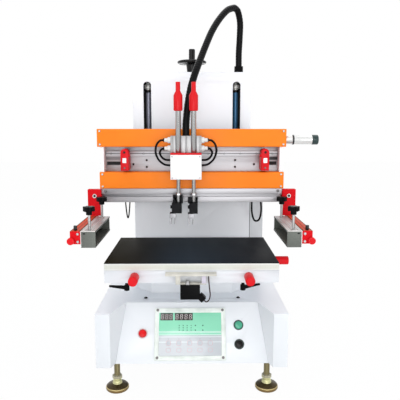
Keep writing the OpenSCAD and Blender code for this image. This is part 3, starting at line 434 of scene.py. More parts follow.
def woundRadius(path, diameter, steps):
    # radius of the wound hose: half the diameter less a groove that runs round as a screw, groove = depth * |cos(pi*s/pitch - a/2)|^edge
    s = np.concatenate([[0], np.cumsum(np.linalg.norm(np.diff(path, axis=0), axis=1))])
    a = np.linspace(0, 2 * pi, steps, endpoint=False)
    turn = pi * s[:, None] / spiral["pitch"] - a[None, :] / 2
    return diameter / 2 - spiral["depth"] * np.abs(np.cos(turn)) ** spiral["edge"]


hoseSkin = mouldedPlastic("black_wound_hose", (0.0022, 0.0024, 0.0030), 0.3, 0.0, 0.08, 0.11)
for name, run in cordRuns.items():
    thick = run["diameter"] > 10
    path, length = smoothRoute(run["route"], 1.1 if thick else 1.5)
    steps = 40 if thick else 16
    radii = woundRadius(path, run["diameter"], steps) if thick else np.full((len(path), 1), run["diameter"] / 2)
    made = piece(name + "_dressed", carried(path, radii, run["up"], steps), run["body"][0] if len(run["body"]) == 1 else None, hoseSkin if thick else leadPlastic if name == "valve_lead" else tubePlastic)
    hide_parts(name)
    if len(run["body"]) == 2:
        at(*run["route"][0])
        at(*run["route"][-1])
        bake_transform(made)
    at(*run["route"][0])
    run["diameter"] / 1000
    toFrame(path[np.linspace(0, len(path) - 1, len(path) // (4 if thick else 2)).astype(int)]).tolist()
print("cords laid")


# finishes that follow the machine's own measures
panelFoot = {"y": -142.0, "z": 82.0, "rise": 0.9089, "run": 0.4171}  # where the slope starts, and its direction


def onPanel(x, v, out=0.0):
    # a point of the slope: foot + v up the slope + out square to it
    return (x, panelFoot["y"] + v * panelFoot["run"] - out * panelFoot["rise"], panelFoot["z"] + v * panelFoot["rise"] + out * panelFoot["run"])


panelOut = (0, -panelFoot["rise"], panelFoot["run"])
windowFilm = {"mint": (0.25, 0.70, 0.47), "keyField": (0.52, 0.55, 0.58), "line": (0.80, 0.88, 0.88), "mintFoot": 72.7, "lines": (82.3, 79.2, 74.2, 68.6, 55.2)}


def displayFilm():
    # printed film: mint above a height up the slope, pale lavender below, with thin lines across
    paint = Paint("display_film", Coat_Weight=0.5, Coat_Roughness=0.06)
    x, y, z = paint.coordinates()
    v = (y - panelFoot["y"]) * panelFoot["run"] + (z - panelFoot["z"]) * panelFoot["rise"]
    clouds = paint.grain(30, 3)
    field = paint.mixed(v > windowFilm["mintFoot"], paint.mixed(clouds, tint(windowFilm["keyField"], 0.95), windowFilm["keyField"]), paint.mixed(clouds, tint(windowFilm["mint"], 0.93), tint(windowFilm["mint"], 1.05)))
    stripes = sum(((v - high).size() < 0.55) for high in windowFilm["lines"])
    paint.give(Base_Color=paint.mixed(stripes.kept(), field, windowFilm["line"]), Roughness=0.2 + clouds * 0.1, Normal=paint.raised(paint.grain(500, 2), 0.04, 0.0001))
    return paint.material


def layeredBoard():
    # table board edge: cream core between two whiter faces, with fine saw marks
    paint = Paint("layered_board_edge")
    x, y, z = paint.coordinates()
    core = (((z - 349).size() < 5.5) * 1.0).kept()
    saw = paint.grain(500, 3, paint.stretched(1, 1, 0.05))
    cream = paint.mixed(saw, (0.60, 0.61, 0.55), (0.68, 0.69, 0.63))
    paint.give(Base_Color=paint.mixed(core, (0.72, 0.73, 0.70), cream), Roughness=0.4 + saw * 0.2, Normal=paint.raised(saw, 0.15, 0.0002))
    return paint.material


def tableSheet():
    # black table face: smooth sheet, faint wiping marks in its gloss, and a few paler scuffs; a painted reflection lies
    # on it, a faint blue sheen across the middle and a brown one towards the left
    paint = Paint("black_table_sheet", Specular_IOR_Level=0.01)
    wiped = paint.grain(14, 5, paint.stretched(1, 0.25, 1))
    scuffs = ((paint.grain(220, 5, paint.stretched(0.2, 1, 1)) - 0.62) * 5).kept()
    x, y, z = paint.coordinates()
    # painted reflection: the blue sheen is strongest in the middle, the brown sheen grows towards the left
    blue, brown = (1 - (x + 5).size() / 190).kept(), ((x * -1 - 60) / 150).kept()
    sheet = paint.mixed(brown, paint.mixed(blue, (0.008, 0.009, 0.012), (0.024, 0.033, 0.044)), (0.020, 0.017, 0.010))
    paint.give(Base_Color=paint.mixed(scuffs * 0.25, sheet, (0.05, 0.052, 0.06)), Roughness=0.42 + wiped * 0.16, Normal=paint.raised(paint.grain(1500, 2), 0.05, 0.0001))
    return paint.material


def housingCoat(name, colour):
    # column sheet: powder paint outside, painted shade inside its walls, near black
    paint = Paint(name, Coat_Weight=0.1, Coat_Roughness=0.3)
    x, y, z = paint.coordinates()
    # painted shade: inside the walls the colour is near black
    inside = (x.size() < 181.5) * (y > 192.5) * (y < 387.5) * (z < 871.5)
    clouds = paint.grain(5, 4)
    coat = paint.mixed(((clouds - 0.35) * 2).kept(), tint(colour, 0.965), tint(colour, 1.01))
    paint.give(Base_Color=paint.mixed(inside, coat, (0.03, 0.035, 0.05)), Roughness=0.4 + clouds * 0.1, Normal=paint.raised(paint.grain(650, 2) + paint.cells(420) * 0.5, 0.12, 0.0002))
    return paint.material


def cabinetCoat():
    # cabinet: powder paint, paler and bluer on the deck than on the skirt below it; this is painted light, the top lit
    # and the skirt shaded
    paint = Paint("cabinet_powder_coat", Coat_Weight=0.12, Coat_Roughness=0.3)
    x, y, z = paint.coordinates()
    clouds = paint.grain(5, 4)
    # painted light: above 227.6 mm the deck is a paler, bluer white than the skirt
    paint.give(Base_Color=paint.mixed(z > 227.6, paint.mixed(clouds, (0.71, 0.735, 0.76), (0.75, 0.775, 0.80)), (0.90, 0.93, 0.97)), Roughness=0.37 + clouds * 0.1, Normal=paint.raised(paint.grain(650, 2) + paint.cells(420) * 0.5, 0.12, 0.0002))
    return paint.material


def cylinderRod():
    # through rod: chrome below, its tube duller above 627 mm, red cap above 749 mm
    paint = Paint("through_rod", Coat_Weight=0.03, Specular_IOR_Level=0.2)
    x, y, z = paint.coordinates()
    red, tube = z > 748.8, (z > 627) * 1.0
    rings = paint.grain(900, 2, paint.stretched(0.05, 0.05, 1))
    steel = paint.mixed(tube, paint.mixed(rings, (0.40, 0.40, 0.40), (0.54, 0.54, 0.54)), paint.mixed(rings, (0.33, 0.33, 0.33), (0.46, 0.46, 0.46)))
    paint.give(Base_Color=paint.mixed(red, steel, paint.mixed(rings, (0.62, 0.005, 0.009), (0.72, 0.007, 0.012))), Metallic=1 - red, Roughness=0.2 + rings * 0.1 + red * 0.06, Normal=paint.raised(rings, 0.06, 0.0001))
    return paint.material


def rodClamp(name, forkTop):
    # rod clamp: black oxide above, bright milled fork below its shoulder
    paint = Paint(name, Specular_IOR_Level=0.1)
    x, y, z = paint.coordinates()
    fork = (z < forkTop) * 1.0
    mill = paint.grain(500, 3, paint.stretched(1, 1, 0.05))
    paint.give(Base_Color=paint.mixed(fork, paint.mixed(mill, (0.004, 0.004, 0.005), (0.012, 0.012, 0.014)), paint.mixed(mill, (0.30, 0.30, 0.32), (0.46, 0.46, 0.48))), Metallic=fork * 0.75, Roughness=0.44 - fork * 0.04 + mill * 0.1, Normal=paint.raised(mill, 0.12, 0.00015))
    return paint.material


def sideStrip():
    # side box: two sheets that meet in a thin dark joint up its front
    paint = Paint("side_box_coat", Coat_Weight=0.1)
    x, y, z = paint.coordinates()
    joint = ((x - 192.2).size() < 0.9) * (y < 251)
    clouds = paint.grain(6, 4)
    paint.give(Base_Color=paint.mixed(joint, paint.mixed(clouds, (0.60, 0.615, 0.63), (0.65, 0.665, 0.68)), (0.10, 0.10, 0.11)), Roughness=0.4 + clouds * 0.1, Normal=paint.raised(paint.grain(650, 2), 0.12, 0.0002))
    return paint.material


# the band from 8.2 mm is a painted highlight on the rim, the band from 10.2 mm painted shade on the top
footBands = ((8.2, (0.62, 0.50, 0.24)), (10.2, (0.045, 0.032, 0.012)), (17.3, (0.74, 0.73, 0.40)), (33.0, (0.46, 0.44, 0.33)), (40.5, (0.20, 0.175, 0.09)))  # height where a band starts, mm, and its colour


def footPlate():
    # plated levelling foot, coloured in bands by height: brown side, a bright rim that is a painted highlight, a dark
    # top that is painted shade, pale yellow collar and nut, olive stem, darker at the top of the stem, with turning
    # rings
    paint = Paint("levelling_foot_zinc", Metallic=0.7)
    x, y, z = paint.coordinates()
    stain = paint.grain(45, 4)
    rings = paint.grain(900, 2, paint.stretched(0.05, 0.05, 1))
    plate = (0.22, 0.14, 0.05)
    for start, colour in footBands:
        plate = paint.mixed(z > start, plate, colour)
    paint.give(Base_Color=paint.mixed(stain * 0.5, plate, (0.13, 0.09, 0.035)), Roughness=0.26 + stain * 0.16, Normal=paint.raised(rings, 0.12, 0.00015))
    return paint.material


def guideRods():
    # guide rods: satin chrome with painted reflections, pale lilac on the left one and bluer on the right one; pale
    # above 822 mm where the bushes sit, near black in a band just below them
    paint = Paint("guide_rod_chrome", Metallic=0.45)
    x, y, z = paint.coordinates()
    rings = paint.grain(900, 2, paint.stretched(0.05, 0.05, 1))
    # painted reflection: lilac on the left rod, blue on the right rod
    left = paint.mixed(rings, (0.36, 0.38, 0.48), (0.46, 0.48, 0.58))
    right = paint.mixed(rings, (0.06, 0.21, 0.42), (0.10, 0.29, 0.52))
    collar = (z > 814) * (z < 822)
    paint.give(Base_Color=paint.mixed(collar, paint.mixed(z > 822, paint.mixed(x > 0, left, right), (0.70, 0.71, 0.69)), (0.01, 0.011, 0.014)), Roughness=0.42 + rings * 0.1, Normal=paint.raised(rings, 0.06, 0.0001))
    return paint.material


def railFinish():
    # profile rail: ground faces, with the dark race of the balls along its side
    paint = Paint("ground_rail_steel", Metallic=0.8)
    x, y, z = paint.coordinates()
    race = ((z - 629).size() < 0.9) * 1.0
    ground = paint.grain(500, 3, paint.stretched(0.01, 1, 1))
    paint.give(Base_Color=paint.mixed(race, paint.mixed(ground, (0.40, 0.40, 0.42), (0.52, 0.52, 0.54)), (0.05, 0.05, 0.055)), Roughness=0.4 + ground * 0.08, Normal=paint.raised(ground, 0.05, 0.0001))
    return paint.material


def screenArms():
    # arms that carry the screen: red bars, browner in the drawn grooves along their tops
    paint = Paint("screen_arm_finish", Specular_IOR_Level=0.06)
    x, y, z = paint.coordinates()
    across, top = x.size(), (z > 449.6) * (y < 35.5)
    worn = paint.grain(60, 4, paint.stretched(1, 0.1, 1))
    red = paint.mixed(worn, (0.58, 0.006, 0.011), (0.74, 0.008, 0.014))
    crest = paint.mixed(worn, (0.50, 0.045, 0.02), (0.66, 0.10, 0.05))
    groove = ((across < 278.6) + ((across - 287.5).size() < 1.3) * 0.7 + (across > 297.5)).kept()
    paint.give(Base_Color=paint.mixed(top, red, paint.mixed(groove, crest, (0.17, 0.045, 0.012))), Roughness=0.42 + worn * 0.14, Normal=paint.raised(paint.grain(380, 2), 0.06, 0.0002))
    return paint.material


def screenChannels():
    # channels that hold the screen: dull grey sides and ends, paler drawn streaks on top, bright cut edges; the same
    # metal is painted darker on the sides as shade and paler on top as light
    paint = Paint("screen_channel_finish", Metallic=0.45, Specular_IOR_Level=0.3)
    x, y, z = paint.coordinates()
    across, top = x.size(), (z > 449.6) * 1.0
    streaks = paint.grain(420, 3, paint.stretched(1, 0.02, 1))
    # painted shade: the sides and ends are coloured darker than the top
    dull = paint.mixed(streaks, (0.105, 0.115, 0.10), (0.17, 0.18, 0.165))
    # painted light: the top is coloured paler than the sides
    pale = paint.mixed(((streaks - 0.35) * 3).kept(), (0.30, 0.29, 0.285), (0.66, 0.65, 0.64))
    edge = (y < -181.7) * ((across > 273.4) + (z > 448.6)).kept()
    paint.give(Base_Color=paint.mixed(edge, paint.mixed(top, dull, pale), (0.80, 0.77, 0.76)), Roughness=0.44 + streaks * 0.12, Normal=paint.raised(streaks, 0.14, 0.00015))
    return paint.material


def beamFace():
    # box beam: drawn aluminium, with the shaded groove under the rail beyond the stops
    paint = Paint("beam_body_aluminium", Metallic=0.8)
    x, y, z = paint.coordinates()
    streaks = paint.grain(700, 3, paint.stretched(0.02, 1, 1))
    groove = ((z - 614).size() < 4.4) * (y < 76) * ((x > 205) * 0.9 + (x < -191) * 0.45)
    paint.give(Base_Color=paint.mixed(groove, paint.mixed(streaks, (0.36, 0.355, 0.37), (0.47, 0.465, 0.485)), (0.02, 0.02, 0.022)), Roughness=0.4 + streaks * 0.1, Normal=paint.raised(streaks, 0.12, 0.00015))
    return paint.material


def driveCylinder():
    # drive cylinder: bright neck, black ring, pale barrel with its drawn lines, dark green-black end cap
    paint = Paint("drive_cylinder_finish")
    x, y, z = paint.coordinates()
    dark = (((x - 291.5).size() < 2.6) + (x > 345.8)).kept()
    drawn = paint.grain(700, 3, paint.stretched(0.02, 1, 1))
    metal = paint.mixed(drawn, (0.60, 0.61, 0.60), (0.80, 0.80, 0.79))
    paint.give(Base_Color=paint.mixed(dark, metal, paint.mixed(x > 345.8, (0.01, 0.01, 0.011), (0.012, 0.035, 0.035))), Metallic=0.75 - dark * 0.7, Roughness=0.3 + drawn * 0.1, Normal=paint.raised(drawn, 0.1, 0.00015))
    return paint.material


def armScrew():
    # arm screws: red knurled heads at the bar's end, black oxide on the ones above
    paint = Paint("arm_screw_finish", Coat_Weight=0.1, Specular_IOR_Level=0.3)
    x, y, z = paint.coordinates()
    above = (z > 449) * 1.0
    worn = paint.grain(60, 4)
    paint.give(Base_Color=paint.mixed(above, paint.mixed(worn, (0.66, 0.007, 0.012), (0.80, 0.009, 0.015)), (0.008, 0.009, 0.009)), Roughness=0.32 + worn * 0.14, Normal=paint.raised(paint.cells(700), 0.2, 0.0002))
    return paint.material


def starKnobs():
    # clamp: black star knob above, plated stud with its thread lines below
    paint = Paint("star_knob_finish", Specular_IOR_Level=0.08)
    x, y, z = paint.coordinates()
    stud = (z < 487.6) * 1.0
    thread = (z * (2 * pi / 1.25)).wave()
    worn = paint.grain(80, 4)
    paint.give(Base_Color=paint.mixed(stud, paint.mixed(worn, (0.0025, 0.0025, 0.003), (0.005, 0.005, 0.0055)), paint.mixed(worn, (0.50, 0.50, 0.50), (0.68, 0.68, 0.68))), Metallic=stud, Roughness=0.4 - stud * 0.1 + worn * 0.08, Normal=paint.raised(stud * thread, 0.25, 0.0003))
    return paint.material


starKnob = starKnobs()
rodFinish = cylinderRod()
nodeFinish = {  # finish and how far its edges are broken, mm
    "base_cabinet": (cabinetCoat(), 1.2), "control_panel": (panelCoat, 0.8), "display_bezel": (bezelPlastic, 1.2), "display_window": (displayFilm(), 0.2),
    "levelling_feet": (footPlate(), 0.8), "table_pedestal": (powderCoat("pedestal_powder_coat", (0.84, 0.86, 0.885)), 1.0), "column_housing": (housingCoat("column_housing_coat", (0.86, 0.86, 0.87)), 0.8),
    # column front: the housing's white paint given a brighter, bluer colour, painted light that lifts the shade the
    # head casts on it
    "column_front": (housingCoat("column_front_coat", (0.93, 0.945, 0.975)), 0.6), "guide_rods": (guideRods(), 0.5), "side_box": (sideStrip(), 1.0),
    "hose_socket": (blackPlastic, 0.6), "handwheel": (mouldedPlastic("handwheel_bakelite", (0.003, 0.003, 0.0035), 0.16, 0.15, 0.03, 0.2), 0.8),
    "cross_slide": (slideSteel, 0.6), "table_board": (layeredBoard(), 0.8), "table_skin": (tableSheet(), 0.4), "vacuum_box": (powderCoat("vacuum_box_coat", (0.71, 0.73, 0.76)), 0.8),
    "valve_shelf": (mouldedPlastic("valve_shelf_beige", (0.66, 0.64, 0.57), 0.4, 0.1, 0.1), 0.4), "vacuum_valve": (mouldedPlastic("solenoid_black", (0.003, 0.003, 0.0035), 0.45, 0.0, 0.3, 0.07), 0.8),
    "adjust_knob_left": (redCoat, 0.8), "adjust_knob_right": (redCoat, 0.8), "adjust_knob_side": (redCoat, 0.8), "lock_levers": (blackPlastic, 0.8),
    "red_button": (redPlastic, 0.6), "green_button": (greenPlastic, 0.6), "black_button": (blackGloss, 0.6),
    "beam_body": (beamFace(), 0.5), "upper_cover": (orangeCoat, 0.5), "lower_cover": (orangeCoat, 0.5), "end_cheeks": (cheekCoat, 0.8), "linear_rail": (railFinish(), 0.5),
    "lower_beam": (beamMetal, 0.5), "end_stops": (redCoat, 0.8), "drive_cylinder": (driveCylinder(), 0.6), "lift_brackets": (castGrey, 1.2), "frame_arms": (screenArms(), 1.0),
    "frame_channels": (screenChannels(), 0.5), "arm_screws": (armScrew(), 0.8), "clamp_left_front": (starKnob, 1.0), "clamp_left_rear": (starKnob, 1.0),
    "clamp_right_front": (starKnob, 1.0), "clamp_right_rear": (starKnob, 1.0), "carriage_block": (powderCoat("guide_block_grey", (0.34, 0.34, 0.36), 0.45), 0.8),
    "cylinder_seat": (redCoat, 0.5), "cylinder_block": (blockMetal, 0.6), "front_plate": (powderCoat("front_plate_white", (0.88, 0.88, 0.87), 0.35), 0.8),
    "air_fittings": (whitePlastic, 0.5), "squeegee_rod": (rodFinish, 0.8), "flood_rod": (rodFinish, 0.8), "squeegee_clamp": (rodClamp("squeegee_clamp_finish", 465), 0.5), "flood_clamp": (rodClamp("flood_clamp_finish", 464), 0.5),
}
nodeSlots = {}
for entry in frame["record"].get("subparts", []):
    if isinstance(entry, dict) and entry.get("material"):
        nodeSlots[entry.get("node") or entry.get("name")] = entry["material"]


def softened(nodeName, finish, broken):
    # a copy of the solid's mesh, its loose triangles merged and its flat faces made whole, with its edges broken
    source = frame["nodes"][nodeName]
    build = bmesh.new()
    build.from_mesh(source.data)
    bmesh.ops.remove_doubles(build, verts=build.verts, dist=2e-6)
    bmesh.ops.dissolve_limit(build, angle_limit=radians(0.6), verts=build.verts, edges=build.edges)
    mesh = bpy.data.meshes.new(nodeName + "_dressed")
    build.to_mesh(mesh)
    build.free()
    mesh.materials.clear()
    mesh.materials.append(finish)
    mesh.shade_smooth()
    made = bpy.data.objects.new(nodeName + "_dressed", mesh)
    bpy.context.scene.collection.objects.link(made)
    rounding = made.modifiers.new("broken edges", "BEVEL")
    rounding.width, rounding.segments, rounding.limit_method, rounding.angle_limit = broken / 1000, 2, "ANGLE", radians(42)
    rounding.harden_normals = True
    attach(made, source["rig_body"])
    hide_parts(nodeName)
    return made


for nodeName, (finish, broken) in nodeFinish.items():
    softened(nodeName, finish, broken)
print("solids dressed", len(nodeFinish))


# small parts
def panHead(origin, out, across=7.0, rise=2.0, steps=24):
    # a pan-head screw: short wall, then a flattened dome, and a dished socket in its middle
    r = across / 2
    dome = [(r, 0), (r, rise * 0.45), (r * 0.93, rise * 0.75), (r * 0.75, rise * 0.94), (r * 0.45, rise), (r * 0.42, rise * 0.55), (r * 0.05, rise * 0.45)]
    return turned(dome, origin, out, steps)


def socketHead(origin, out, across=6.0, rise=5.0, steps=24):
    # a cap screw: straight wall, broken edge, six-cornered look left to a turned socket
    r = across / 2
    return turned([(r, 0), (r, rise - 0.5), (r - 0.4, rise), (r * 0.58, rise), (r * 0.52, rise * 0.55), (0.1, rise * 0.5)], origin, out, steps)


def collarRing(origin, out, outer, inner, low, high, steps=40):
    # a ring: up its outer wall, over the rounded top, down its inner wall
    return turned([(inner, low), (outer, low), (outer, high - 0.5), (outer - 0.5, high), (inner + 0.4, high), (inner, high - 0.4), (inner, low)], origin, out, steps)


def darkHole(origin, out, across):
    # a drilled hole as it shows: a flat disc with a very low rim, to carry the hole's painted shade
    return turned([(across / 2, 0), (across / 2, 0.12), (across / 2 - 0.3, 0.16), (0.1, 0.05)], origin, out, 20)


bezel = {"middle": -5.0, "screwX": 88.0, "screwV": (15.0, 139.0), "screwHead": 7.4, "top": 6.0}
heads = [panHead(onPanel(bezel["middle"] + s * bezel["screwX"], v, bezel["top"]), panelOut, bezel["screwHead"], 1.6) for s in (-1, 1) for v in bezel["screwV"]]
piece("bezel_screws", heads, "root", greyScrew)

readout = {"blocks": ((-80.5, -46.5, 3), (-41.5, 7.0, 4)), "low": 112.0, "high": 131.2, "digit": (6.0, 12.6), "bar": 1.15, "lean": 0.06, "face": 5.0}
ledFace = mouldedPlastic("readout_smoked_face", (0.018, 0.010, 0.010), 0.3, 0.1, 0.02)
ledBar = mouldedPlastic("readout_pale_bars", (0.90, 0.82, 0.80), 0.35, 0.0, 0.02)


def flatOnPanel(outline, x, v, low, high, edge=0.15):
    return slab(outline, low, high, onPanel(x, v), panelOut, (1, 0, 0), edge)


def digitBars(x, v):
    # seven bars of a readout digit: each a six-cornered strip, leaned by lean * height
    w, h = readout["digit"]
    b = readout["bar"] / 2
    across = np.array([(-w / 2 + 1.6 * b, 0), (-w / 2 + 2.6 * b, b), (w / 2 - 2.6 * b, b), (w / 2 - 1.6 * b, 0), (w / 2 - 2.6 * b, -b), (-w / 2 + 2.6 * b, -b)])[::-1]
    upright = np.array([(0, -h / 4 + 1.2 * b), (b, -h / 4 + 2 * b), (b, h / 4 - 2 * b), (0, h / 4 - 1.2 * b), (-b, h / 4 - 2 * b), (-b, -h / 4 + 2 * b)])
    places = [(across, 0, h / 2), (across, 0, 0), (across, 0, -h / 2), (upright, -w / 2, h / 4), (upright, w / 2, h / 4), (upright, -w / 2, -h / 4), (upright, w / 2, -h / 4)]
    leaned = [np.stack([o[:, 0] + dx + readout["lean"] * (o[:, 1] + dv), o[:, 1] + dv], 1) for o, dx, dv in places]
    return [flatOnPanel(o, x, v, readout["face"] + 0.25, readout["face"] + 0.42, 0.05) for o in leaned]


middleV = (readout["low"] + readout["high"]) / 2
blocks, bars = [], []
for left, right, count in readout["blocks"]:
    blocks.append(flatOnPanel(roundedBox(right - left, readout["high"] - readout["low"], 0.8), bezel["middle"] + (left + right) / 2, middleV, readout["face"] - 0.2, readout["face"] + 0.3))
    pitch = (right - left) / count
    for k in range(count):
        bars += digitBars(bezel["middle"] + left + pitch * (k + 0.5), middleV)
piece("readout_blocks", blocks, "root", ledFace)
piece("readout_digits", bars, "root", ledBar)

lights = {"columns": (-29.5, -18.8, -8.1, 2.7), "rows": (98.2, 92.2, 86.0), "extra": ((14.2, 98.2), (34.4, 98.2), (14.2, 86.0), (34.4, 86.0)), "size": 2.8}
spots = [turned(domed(lights["size"] / 2, 0, 0.5, 5), onPanel(bezel["middle"] + x, v, 5.0), panelOut, 14) for x in lights["columns"] for v in lights["rows"]]
piece("indicator_dots", spots, "root", mouldedPlastic("indicator_dark_green", (0.05, 0.20, 0.13), 0.3, 0.3, 0.02))
spots = [turned(domed(1.7, 0, 0.6, 5), onPanel(bezel["middle"] + x, v, 5.0), panelOut, 16) for x, v in lights["extra"]]
piece("indicator_lamps", spots, "root", mouldedPlastic("indicator_deep_green", (0.02, 0.11, 0.07), 0.25, 0.4, 0.02))

keys = {"x": (-58.3, -30.1, -1.3, 26.3, 54.0), "rows": (52.5, 34.5), "width": 12.5, "height": 12.5, "corner": 3.2, "line": 0.7}


def keyOutline(x, v, width, height):
    # outline ring of a pressed key: rounded box carried between its own outline and the same one drawn in by the line's width
    outer, inner = roundedBox(width, height, keys["corner"], 5), roundedBox(width - 2 * keys["line"], height - 2 * keys["line"], keys["corner"] - keys["line"], 5)
    side, other, out = np.array((1.0, 0, 0)), np.cross(panelOut, (1, 0, 0)), np.array(panelOut)
    rows = [(outer, 0.0), (outer, 0.18), (inner, 0.18), (inner, 0.0)]
    points = [np.array(onPanel(x, v, 5.0)) + o[:, :1] * side + o[:, 1:] * other + h * out for o, h in rows]
    return np.concatenate(points), gridFaces(4, len(outer))


rings = [keyOutline(bezel["middle"] + x, v, keys["width"], keys["height"] * (1 if v > 40 else 0.85)) for x in keys["x"] for v in keys["rows"]]
piece("key_outlines", rings, "root", mouldedPlastic("key_outline_rose", (0.66, 0.36, 0.40), 0.35, 0.2, 0.02))
pads = [flatOnPanel(roundedBox(keys["width"] - 3, keys["height"] - 3, 2.2), bezel["middle"] + x, keys["rows"][0], 4.9, 5.16) for x in keys["x"]]
piece("key_pads", pads, "root", mouldedPlastic("key_pad_pale", (0.60, 0.63, 0.67), 0.4, 0.05, 0.05, 0.2))
ticks = [flatOnPanel(roundedBox(4.2, 1.0, 0.4), bezel["middle"] + x, 63.0, 4.95, 5.1) for x in keys["x"]]
piece("key_ticks", ticks, "root", mouldedPlastic("key_tick_grey", (0.30, 0.31, 0.36), 0.4, 0.1, 0.02))

buttonSpots = {"red": (-133.0, 78.0), "green": (126.0, 99.0), "black": (127.0, 49.0)}
paleRing = mouldedPlastic("button_ring_pale", (0.80, 0.62, 0.62), 0.3, 0.3, 0.03)
darkRing = mouldedPlastic("button_ring_dark", (0.03, 0.06, 0.05), 0.3, 0.3, 0.03)
for colour, (x, v) in buttonSpots.items():
    piece(colour + "_button_ring", collarRing(onPanel(x, v), panelOut, 13.4, 11.0, 2.9, 3.7), "root", paleRing if colour == "red" else darkRing)

deckHoles = {"x": 130.0, "y": -40.0, "across": 9.0, "deck": 228.0}
plugs = [turned([(4.3, -3), (4.3, 0)] + domed(5.2, 0.0, 3.6, 8), (s * deckHoles["x"], deckHoles["y"], deckHoles["deck"]), (0, 0, 1), 28) for s in (-1, 1)]
piece("deck_hole_plugs", plugs, "root", rubber)
print("panel finished")

coverScrews = {"upperX": 262.0, "lowerX": 257.0, "front": 37.0, "head": 6.4, "upper": (656.0, 693.5), "lower": (535.5, 570.5)}
heads = []
for s in (-1, 1):
    for reach, heights in ((coverScrews["upperX"], coverScrews["upper"]), (coverScrews["lowerX"], coverScrews["lower"])):
        heads += [panHead((s * reach, coverScrews["front"], z), (0, -1, 0), coverScrews["head"], 1.8) for z in heights]
piece("cover_screws", heads, "head", screwSteel)
piece("beam_end_screws", [panHead((s * 250.0, 42.0, 522.0), (0, -1, 0), 8.6, 2.6) for s in (-1, 1)], "head", greyScrew)

beamFace = {"front": 75.0, "holes": ((-172, 597), (-133, 609), (-133, 589), (127, 609), (127, 589), (183, 597)), "across": 5.6}
piece("beam_face_holes", [darkHole((x, beamFace["front"], z), (0, -1, 0), beamFace["across"]) for x, z in beamFace["holes"]], "head", recessShade)
piece("beam_face_rims", [collarRing((x, beamFace["front"], z), (0, -1, 0), 3.7, 2.8, 0, 0.5, 24) for x, z in beamFace["holes"]], "head", beamMetal)
grooves = {"left": (-250.0, -202.5), "right": (220.5, 250.0), "z": 600.0, "depth": 79.0}
# painted shade: thin dark plates on the beam face standing for the shade in its end grooves
shadePlates = [slab(roundedBox(b - a, 9.8, 0.3), 0, 0.2, ((a + b) / 2, grooves["depth"], grooves["z"]), (0, -1, 0), (1, 0, 0), 0.05) for a, b in (grooves["left"], grooves["right"])]
piece("groove_shade_plates", shadePlates, "head", recessShade)
railBolts = {"front": 63.0, "z": 628.5, "x": np.arange(-235, 236, 47.0), "across": 6.0}
piece("rail_bolt_holes", [turned([(3.0, -0.3), (3.0, 0.05), (2.5, 0.02), (2.4, -0.1), (0.1, -0.1)], (x, railBolts["front"], railBolts["z"]), (0, -1, 0), 20) for x in railBolts["x"]], "head", recessShade)

stops = {"x": (-191.0, 209.0), "front": 23.0, "plate": 11.0, "plateZ": 611.0, "holeZ": 634.0, "pinZ": 590.0}
piece("stop_plates", [slab(roundedBox(stops["plate"], stops["plate"] + 3, 1.2), 0, 1.0, (x, stops["front"], stops["plateZ"]), (0, -1, 0), (1, 0, 0)) for x in stops["x"]], "head", screwSteel)
piece("stop_eyelets", [collarRing((x, stops["front"], stops["holeZ"]), (0, -1, 0), 5.4, 3.4, 0, 1.6, 28) for x in stops["x"]], "head", redCoat)
piece("stop_holes", [darkHole((x, stops["front"], stops["holeZ"]), (0, -1, 0), 6.8) for x in stops["x"]], "head", recessShade)
piece("stop_pins", [socketHead((x, stops["front"], stops["pinZ"]), (0, -1, 0), 5.0, 1.8) for x in stops["x"]], "head", greyScrew)

cheekScrews = {"x": 263.0, "spots": ((88, 560), (128, 560), (88, 672), (128, 672)), "head": 7.0}
piece("cheek_screws", [panHead((s * cheekScrews["x"], y, z), (s, 0, 0), cheekScrews["head"], 1.8) for s in (-1, 1) for y, z in cheekScrews["spots"] if z < 640 or s < 0 or y > 90], "head", screwSteel)

armParts = {"ringX": 281.0, "ringZ": 508.0, "plateFront": 36.0, "endFront": -182.0, "endScrews": ((281.5, 443.0), (281.5, 423.5)), "topScrew": (289.0, -170.0, 462.0), "outside": 301.0}
piece("arm_plate_rings", [collarRing((s * armParts["ringX"], armParts["plateFront"], armParts["ringZ"]), (0, -1, 0), 6.0, 3.6, 0, 1.4, 28) for s in (-1, 1)], "head", whitePlastic)
piece("arm_plate_holes", [darkHole((s * armParts["ringX"], armParts["plateFront"], armParts["ringZ"]), (0, -1, 0), 7.0) for s in (-1, 1)], "head", recessShade)
piece("arm_end_screws", [socketHead((s * x, armParts["endFront"], z), (0, -1, 0), 6.6, 2.4) for s in (-1, 1) for x, z in armParts["endScrews"]], "head", screwSteel)
piece("arm_side_screws", [socketHead((s * armParts["outside"], y, 433.0), (s, 0, 0), 7.5, 2.6) for s in (-1, 1) for y in (-120, -40, 30)], "head", screwSteel)
piece("arm_knob_faces", [turned([(7.4, 0), (7.4, 0.4), (6.6, 0.8), (4.6, 0.6), (0.1, 0.5)], (s * 298.0, -192.0, 426.0), (0, -1, 0), 30) for s in (-1, 1)], "head", redCoat)
channelEnds = {"x": 266.0, "front": -182.0, "z": 443.5}
ovalHole = roundedBox(6.5, 3.6, 1.7, 6)
piece("channel_rear_stops", [slab(roundedBox(34.6, 39.6, 0.6), 0, 1.6, (s * 256.3, 29.8, 429.0), (0, -1, 0), (1, 0, 0)) for s in (-1, 1)], "head", drawnMetal("rear_stop_steel", (0.11, 0.12, 0.105), "x", 0.5, 0.3))
piece("channel_end_holes", [slab(ovalHole, 0, 0.12, (s * channelEnds["x"], channelEnds["front"], channelEnds["z"]), (0, -1, 0), (1, 0, 0), 0.05) for s in (-1, 1)], "head", recessShade)
print("head finished")

